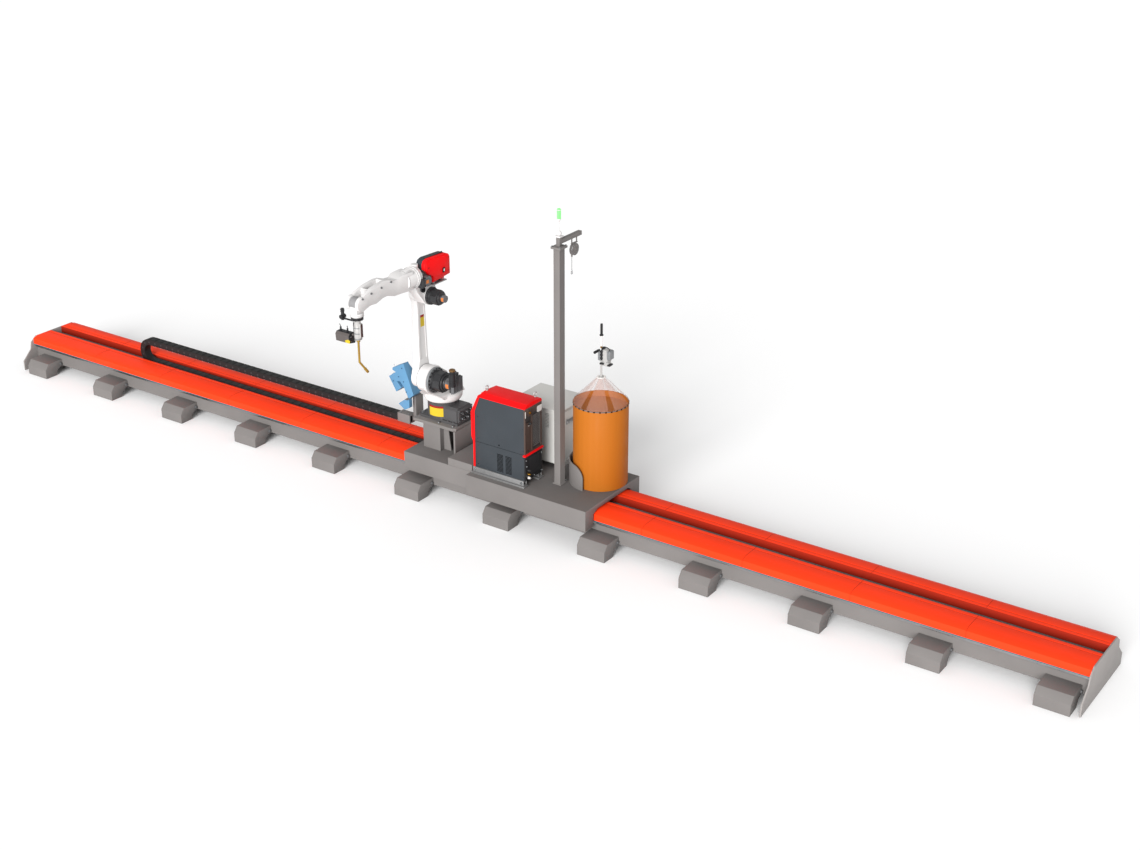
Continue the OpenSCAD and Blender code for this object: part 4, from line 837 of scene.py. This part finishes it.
class STATION_OT_booster(StationOperator, bpy.types.Operator):
    """Wire feeder over the drum: guide tubes, drive rollers, gear housing, lever and feet"""
    bl_idname = "station.booster"
    bl_label = "Booster"

    def execute(self, context):
        low, high = corners("booster_feeder")
        foot, top = (*middle("wire_drum"), low[2]), high[2] - low[2] + 9
        lower = revolve([(22, 0), (22, 6), (10, 8), (8.5, 120)], sides=24)
        body = block((30, -26, 158), (83, 36, 279), 4)
        saddle = slab([(40, 122), (96, 122), (88, 160), (34, 160)], -18, 28, 1, 2)
        post = block((-6, -10, 118), (34, 22, 166), 3)
        housing = slab(round_rect((97, 234), 37, 88, 15), -34, 34, 1, 4)
        left = slab(round_rect((-6, 208), 30, 80, 4), -26, 26, 1, 2)
        plate = slab(round_rect((18, 226), 34, 122, 4), -4, 20, 1, 1)
        roller = revolve([(14.5, 0), (14.5, 8), (12, 10), (12, 18), (14.5, 20), (14.5, 28), (6, 30)],
                         axis=FRONT, sides=28)
        rollers = copies(roller, [(20, -4, h) for h in (196, 228, 260)])
        flare = revolve([(10, 398), (17.5, 401), (17.5, 411), (11.5, 415), (11.5, top - 2), (9.5, top)], sides=24)
        lever = revolve([(10, -52), (12.5, -49), (12.5, 12), (10, 16), (10, 30)], (-42, 0, 242.5), Y, 24)
        link = block((-46, -6, 236), (-18, 10, 249), 2)
        feet = [slab([(a, 134), (b, 138), (b, 150), (a, 148)], -34, 20, 1, 1) for a, b in ((2, 42), (84, 114))]
        arch = smooth_path([(18, -12, 283), (28, -12, 301), (55, -12, 305), (88, -12, 296), (96, -12, 276)], 24)
        arch = tube(arch, 4.2, 10, up=Y)
        ribs = [(8.8 - 1.6 * (k % 2), 300 + 4.1 * k) for k in range(25)]
        conduit = revolve([(5, 298), *ribs, (5, 402)], sides=20)
        union = revolve([(11, 283), (11, 292), (9.5, 294), (9.5, 301)], sides=6)
        for name, shapes, paint_name, slot in (
                ("booster_body", [lower, body, saddle, post], "bright", "light_metal"),
                ("booster_housing", [housing, left], "cast", None),
                ("booster_drive", [plate, rollers, flare, lever, link, *feet, arch], "black", None),
                ("booster_conduit", [conduit], "rim", None),
                ("booster_union", [union], "brass", None)):
            shape = copies(joined(*shapes), [foot])
            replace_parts(fit(name, shape, paint_name, smooth=40), "booster_feeder")
        small = screws([(x, -25.5, z) for x in (37, 76) for z in (166, 271)], 5, FRONT)
        large = screws([(97, -33.5, z) for z in (200, 268)], 6, FRONT)
        fit("booster_screws", copies(joined(small, large), [foot]), "steel")
        return {"FINISHED"}


class STATION_OT_robot_fittings(StationOperator, bpy.types.Operator):
    """Labels, bolts, seams, motor ribs, collars and plugs of the robot"""
    bl_idname = "station.robot_fittings"
    bl_label = "Robot fittings"

    def execute(self, context):
        def bent_label(name, centre, axis, radius, thick, arc, span, paint_name, body):
            fit(name, wrap_plate(centre, axis, radius, thick, arc, span), paint_name, body, 60)

        neck, arc, arm = (ROBOT_X, 0, 0), (-112, -52), -497.5
        bent_label("base_label", neck, Z, 150, 0.8, arc, (762, 848), "yellow", "carriage")
        bent_label("base_label_band", neck, Z, 150, 0.8, arc, (848.4, 868), "label_red", "carriage")
        fit("arm_label", label((-172, 1716), 66, 92, 3, arm), "yellow", "upper_link", 40)
        fit("arm_label_band", label((-172, 1774), 66, 23, 2, arm), "label_red", "upper_link", 40)

        shoulder, elbow = SHOULDER, ELBOW
        for name, centre, r, count, size, body in (("shoulder", shoulder, 113, 18, 11, "turntable"),
                                                   ("elbow", elbow, 76.5, 12, 8, "elbow")):
            bolts = screws(circle_of((-353, *centre), X, r, count, 0.1), size)
            fit(name + "_flange_bolts", bolts, "motor", body)
        for name, (y, z), r, length, body in (("shoulder", shoulder, 98.5, 90, "turntable"),
                                              ("elbow", elbow, 70.5, 76, "elbow")):
            x = -335
            shapes = [tube([(x + t * length, *c[1:]) for t in (0.02, 0.5, 0.98)], 3.5, 8)
                      for c in circle_of((0, y, z), X, r, 8, math.pi / 8)]
            shapes += [torus((x + t * length, y, z), X, r * 0.955, 4, 48, 8) for t in (0.03, 0.97)]
            fit(name + "_motor_ribs", shapes, "motor", body, 50)
        for name, x, centre, r, w, body in (("shoulder", -225.5, shoulder, 66, 14, "turntable"),
                                            ("elbow", -239.5, elbow, 40, 8, "elbow")):
            collar = revolve([(r, 0), (r, w), (r - 4, w + 4)], (x, *centre), X, 40)
            fit(name + "_nose_collar", collar, "motor", body, 50)
        bent_label("shoulder_motor_label", (0, *shoulder), X, 58, 0.7, (166, 212), (-196, -162),
                   "label_orange", "turntable")
        bent_label("elbow_motor_label", (0, *elbow), X, 34, 0.7, (150, 214), (-226, -200),
                   "label_orange", "elbow")
        fit("roll_motor_label", label((-328, 2196), 36, 32, 2, -291), "label_orange", "elbow", 40)
        end = slab(round_rect((-328.5, 2184), 58, 84, 12), -392, -352, 1, 4)
        cover = slab(round_rect((-328.5, 2184), 30, 50, 8), -395.5, -391, 1, 1)
        fit("roll_motor_end", [end, cover], "motor", "elbow", 40)
        plug = [(30, 0), (34, 4), (34, 28), (31, 31), (31, 50), (34, 53),
                (34, 128), (28, 134), (28, 152), (22, 154)]
        fit("shoulder_plug", revolve(plug, (-88, -264, 1186)), "black", "turntable", 40)
        cap = [(24, 0), (31, 3), (31, 15), (26, 20), (12, 20), (10, 17)]
        fit("shoulder_plug_cap", revolve(cap, (-88, -264, 1338), sides=10), "cap", "turntable")
        knob = torus((-358, -310, 2098), X, 21.5, 5, 32)
        hub = revolve([(10, 0), (10, 4), (7, 6)], (-359, -310, 2098), X, 6)
        fit("elbow_vent", [knob, hub], "dark", "elbow", 50)
        ends = [block((-340, y, z), (-306, y + 12, z + 12), 2) for y in (-344, -268) for z in (2146, 2222)]
        fit("roll_motor_corners", ends, "black", "elbow")

        sides = [screws([(ROBOT_X + way * half, y, z)], 12, (way, 0, 0)) for way in (1, -1) for y, z, half in (
            (-760, 2307, 60), (-897, 2293, 65), (-1043, 2284, 72), (-1162, 2266, 72))]
        fit("forearm_bolts", sides, "motor_grey", "forearm_link")
        rings = [torus((ROBOT_X, WRIST_Y, h), Z, 60, 1.4, 48, 8) for h in (2112, 2098.5)]
        fit("wrist_seams", rings, "wrist", "wrist_link", 60)
        edge = torus((-486, *shoulder), X, 132, 1.8, 96, 8)
        fit("shoulder_seal", edge, "motor_grey", "turntable", 60)
        rings = [torus((ROBOT_X, y, ROLL_AXIS_Z), Y, r, 1.2, 64, 6) for y, r in ((-414.5, 98.5), (-530, 93))]
        fit("forearm_seams", rings, "motor_grey", "forearm_link", 60)
        ring = circle_of((ROBOT_X, -388, ROLL_AXIS_Z), FRONT, 98.5, 16, 0.2)
        fit("elbow_flange_screws", screws(ring, 6, Y), "steel", "elbow")
        hubs = [screws(circle_of((-575.5, *centre), LEFT, r, count), size, LEFT)
                for centre, r, count, size in ((shoulder, 68, 10, 8), (elbow, 52, 8, 7))]
        fit("arm_hub_bolts", hubs, "steel", "upper_link")

        panel, plugs, rims = -150, [], []
        for y in (-66, 0, 66):
            plugs.append(revolve([(21.5, 0), (21.5, 8), (19.5, 10), (19.5, 20)], (panel, y, 772), X, 8))
            rims += [torus((-124.5, y, 772), X, 15.5, 2.2, 28, 8), torus((-132.5, y, 828), X, 11.5, 1.8, 28, 8)]
        fit("base_plug_collars", plugs, "motor")
        fit("base_plug_rims", rims, "steel", smooth=50)
        spots = [(panel, y, z) for y in (-94, 94) for z in (745, 850)]
        spots += [(panel, 33, 800), (panel, -33, 800)]
        fit("base_panel_screws", screws(spots, 6), "steel")
        return {"FINISHED"}


class STATION_OT_wire_feeder_fittings(StationOperator, bpy.types.Operator):
    """Shell, strap, catch, hinges, screws and inlet of the wire feeder on the elbow"""
    bl_idname = "station.wire_feeder_fittings"
    bl_label = "Wire feeder fittings"

    def execute(self, context):
        (_, near, _), (_, rear, top) = corners("wire_feeder")
        split, door, bottom = FEEDER_SPLIT, -330, 2140
        a = np.radians(np.arange(0, 91, 15))
        shell = [(-195, bottom - 1), (rear + 1, bottom + 21),
                 *zip(rear - 48 + 49 * np.cos(a), top - 60 + 49 * np.sin(a)),
                 (near + 60, top + 1), (near + 18, top - 13), (near - 1, top - 43),
                 (near - 1, bottom + 146), (-250.5, bottom + 96), (-201, bottom + 62)]
        fit("feeder_shell", slab(shell, split - 51.5, split + 13, 0, 1.5), "slate", "elbow", 40)
        strap = [(near + 55, top), (10, top - 10), (10, top - 5), (near + 55, top + 5)]
        fit("feeder_strap", slab(strap, split - 12, split + 16, 0, 1), "black", "elbow")
        catch = block((door + 7.5, -52, 2212), (door + 9.5, -38, 2236), 0.6)
        fit("feeder_catch", catch, "rim", "elbow")
        hinges = [tube([(split - 1, y + dy, top - 6) for dy in (0, 18, 36)], 5.5) for y in (-140, -20)]
        fit("feeder_hinges", hinges, "black", "elbow", 40)
        spots = [(door, y, z) for y, z in ((-260, 2300), (30, 2330), (30, 2200))]
        fit("feeder_screws", screws(spots, 5), "black", "elbow")
        inlet = [(12, 0), (12, 12), (9, 14), (9, 24), (5, 26)]
        fit("feeder_inlet", revolve(inlet, (-414, rear - 2, 2260), Y, 20), "brass", "elbow", 40)
        return {"FINISHED"}


class STATION_OT_torch_fittings(StationOperator, bpy.types.Operator):
    """Bands, rear strip, flange bolts and side rings of the torch; the sensor's window, plugs and screws"""
    bl_idname = "station.torch_fittings"
    bl_label = "Torch and sensor fittings"

    def execute(self, context):
        x, y, top = ROBOT_X, WRIST_Y, 2089.5
        band = [(33, 0), (36.5, 1), (36.5, 9), (33, 10)]
        bands = [hoop(band, (x, y, top - d), sides=40) for d in (108, 160, 212)]
        fit("torch_bands", bands, "steel", "tool", 60)
        strip = block((x + 44, y - 9, top - 186), (x + 52, y + 9, top - 64), 1)
        studs = screws([(x + 52, y, top - d) for d in (82, 105, 128, 151, 174)], 6)
        fit("torch_strip", [strip, studs], "strip", "tool")
        ring = circle_of((x, y, top - 25), Z, 46, 8, 0.3)
        fit("torch_flange_bolts", screws(ring, 8, DOWN), "steel", "tool")
        rings = [torus((x - 171, y, top - 34 + d), Z, 17.5, 3, 24, 8) for d in (-20, 50, 66)]
        fit("torch_side_rings", rings, "black", "tool", 50)

        base, front = top - 172, y - 41.8
        window = [(-530, base - 86), (-484, base - 86), (-480, base - 60), (-504, base - 52), (-540, base - 68)]
        fit("sensor_window", slab(window, front - 4, front - 0.5, 1, 0.3), "yellow", "tool")
        wires = []
        for sx, lean in ((-622, -12), (-542, -3)):
            route = [(sx, y, base + 32), (sx + lean * 0.4, y, base + 48), (sx + lean, y, base + 58)]
            collar = [(10.5, 0), (10.5, 8), (8.5, 10), (8.5, 20)]
            wires += [tube(smooth_path(route, 12), 3.5, 10, up=Y), revolve(collar, (sx, y, base + 1.5), sides=12)]
        fit("sensor_plugs", wires, "black", "tool", 40)
        spots = [(-482, y + dy, base + dz) for dy, dz in ((-28, -28), (28, -28), (-26, -72), (28, -76))]
        fit("sensor_screws", screws(spots, 5), "steel", "tool")
        return {"FINISHED"}


class STATION_OT_cleaner_fittings(StationOperator, bpy.types.Operator):
    """Pin, screws and nozzle seat of the torch cleaner"""
    bl_idname = "station.cleaner_fittings"
    bl_label = "Torch cleaner fittings"

    def execute(self, context):
        x, y, z = -812, -44, 809
        pin = [(x - dx, y + 30, z + dz) for dx, dz in ((186, 280), (192, 292), (200, 306))]
        seat = revolve([(14, -1), (14, 3), (9, 5), (6, 5), (6, 2)],
                       (x - 214, y + 30, z + 201.5), (-0.566, 0, 0.824), 24)
        fit("cleaner_pin", [tube(pin, 3, 10, up=Y), seat], "steel", smooth=40)
        spots = [(x - dx, y, z + dz) for dx, dz in ((120, 200), (60, 160), (30, 60), (75, 300), (190, 140))]
        fit("cleaner_screws", screws(spots, 7, FRONT), "cleaner_dark")
        return {"FINISHED"}


class STATION_OT_cabinet_fittings(StationOperator, bpy.types.Operator):
    """Hinges and louvres of the controller cabinet, and the screws of its handle"""
    bl_idname = "station.cabinet_fittings"
    bl_label = "Cabinet fittings"

    def execute(self, context):
        low, high = corners("controller_cabinet")
        side, hinges = high[0] - 4, []
        for z in (580, 860):
            hinges += [tube([(side + 4, 596.5, z + dz) for dz in (-30, 0, 30)], 6.5, 16, up=X),
                       block((side - 1, 570, z - 26), (side + 3, 597, z + 26), 0.8)]
        fit("cabinet_hinges", hinges, "cabinet", smooth=40)
        spots = [(side + 0.5, y, z) for y in (246, 374) for z in (852, 902)]
        fit("handle_screws", screws(spots, 6), "steel")
        louvres = [block((681.5, low[1] + 4.2, z + 39.2), (722.5, low[1] + 5.6, z + 42.8), 0.2)
                   for z in (921.5 - 15 * i for i in range(10))]
        fit("cabinet_louvres", louvres, "mesh")
        return {"FINISHED"}


class STATION_OT_jib_fittings(StationOperator, bpy.types.Operator):
    """Rims and screws of the spring balancer, and the lamp's collars"""
    bl_idname = "station.jib_fittings"
    bl_label = "Jib and lamp fittings"

    def execute(self, context):
        y, z, r, lamp_z = 137, 2630, 55, 2962
        rims = [torus((MAST_X + s * 12.5, y, z), X, r - 1, 2.2, 48, 8) for s in (-1, 1)]
        rims += [screws(circle_of((MAST_X + s * 16, y, z), X, 36, 6), 5, (s, 0, 0)) for s in (-1, 1)]
        fit("balancer_rims", rims, "steel", smooth=50)
        collar = [(17.5, 0), (19.6, 1), (19.6, 5), (17.5, 6)]
        collars = [hoop(collar, (MAST_X, MAST_Y, lamp_z + h), sides=40) for h in (0, 82)]
        fit("lamp_collars", collars, "robot", smooth=60)
        return {"FINISHED"}


class STATION_PT_panel(bpy.types.Panel):
    """Shows the station's settings and a button for each of its operators"""
    bl_label = "Welding Station"
    bl_idname = "STATION_PT_panel"
    bl_space_type = "VIEW_3D"
    bl_region_type = "UI"
    bl_category = "Welding Station"

    def draw(self, context):
        layout = self.layout
        for group in SETTINGS:
            box = layout.box()
            settings = getattr(context.scene, group)
            for key in settings.bl_rna.properties.keys():
                if key not in ("rna_type", "name"):
                    box.prop(settings, key)
        for operator in OPERATORS:
            layout.operator(operator.bl_idname)


SETTINGS = {"station_colours": StationColours, "station_stage": StationStage, "station_sizes": StationSizes}
OPERATORS = (STATION_OT_stage, STATION_OT_surfaces, STATION_OT_balancer_cord, STATION_OT_rail_fittings,
             STATION_OT_chain_fittings, STATION_OT_carriage_bolts, STATION_OT_power_source, STATION_OT_drum_fittings,
             STATION_OT_booster, STATION_OT_robot_fittings, STATION_OT_wire_feeder_fittings,
             STATION_OT_torch_fittings, STATION_OT_cleaner_fittings, STATION_OT_cabinet_fittings,
             STATION_OT_jib_fittings)
CLASSES = (*SETTINGS.values(), *OPERATORS, STATION_PT_panel)


def register():
    for c in CLASSES:
        bpy.utils.register_class(c)
    for name, group in SETTINGS.items():
        setattr(bpy.types.Scene, name, PointerProperty(type=group))


def unregister():
    for name in SETTINGS:
        delattr(bpy.types.Scene, name)
    for c in reversed(CLASSES):
        bpy.utils.unregister_class(c)


def main():
    register()
    for operator in OPERATORS:
        group, name = operator.bl_idname.split(".")
        getattr(getattr(bpy.ops, group), name)()


if __name__ == "__main__":
    main()
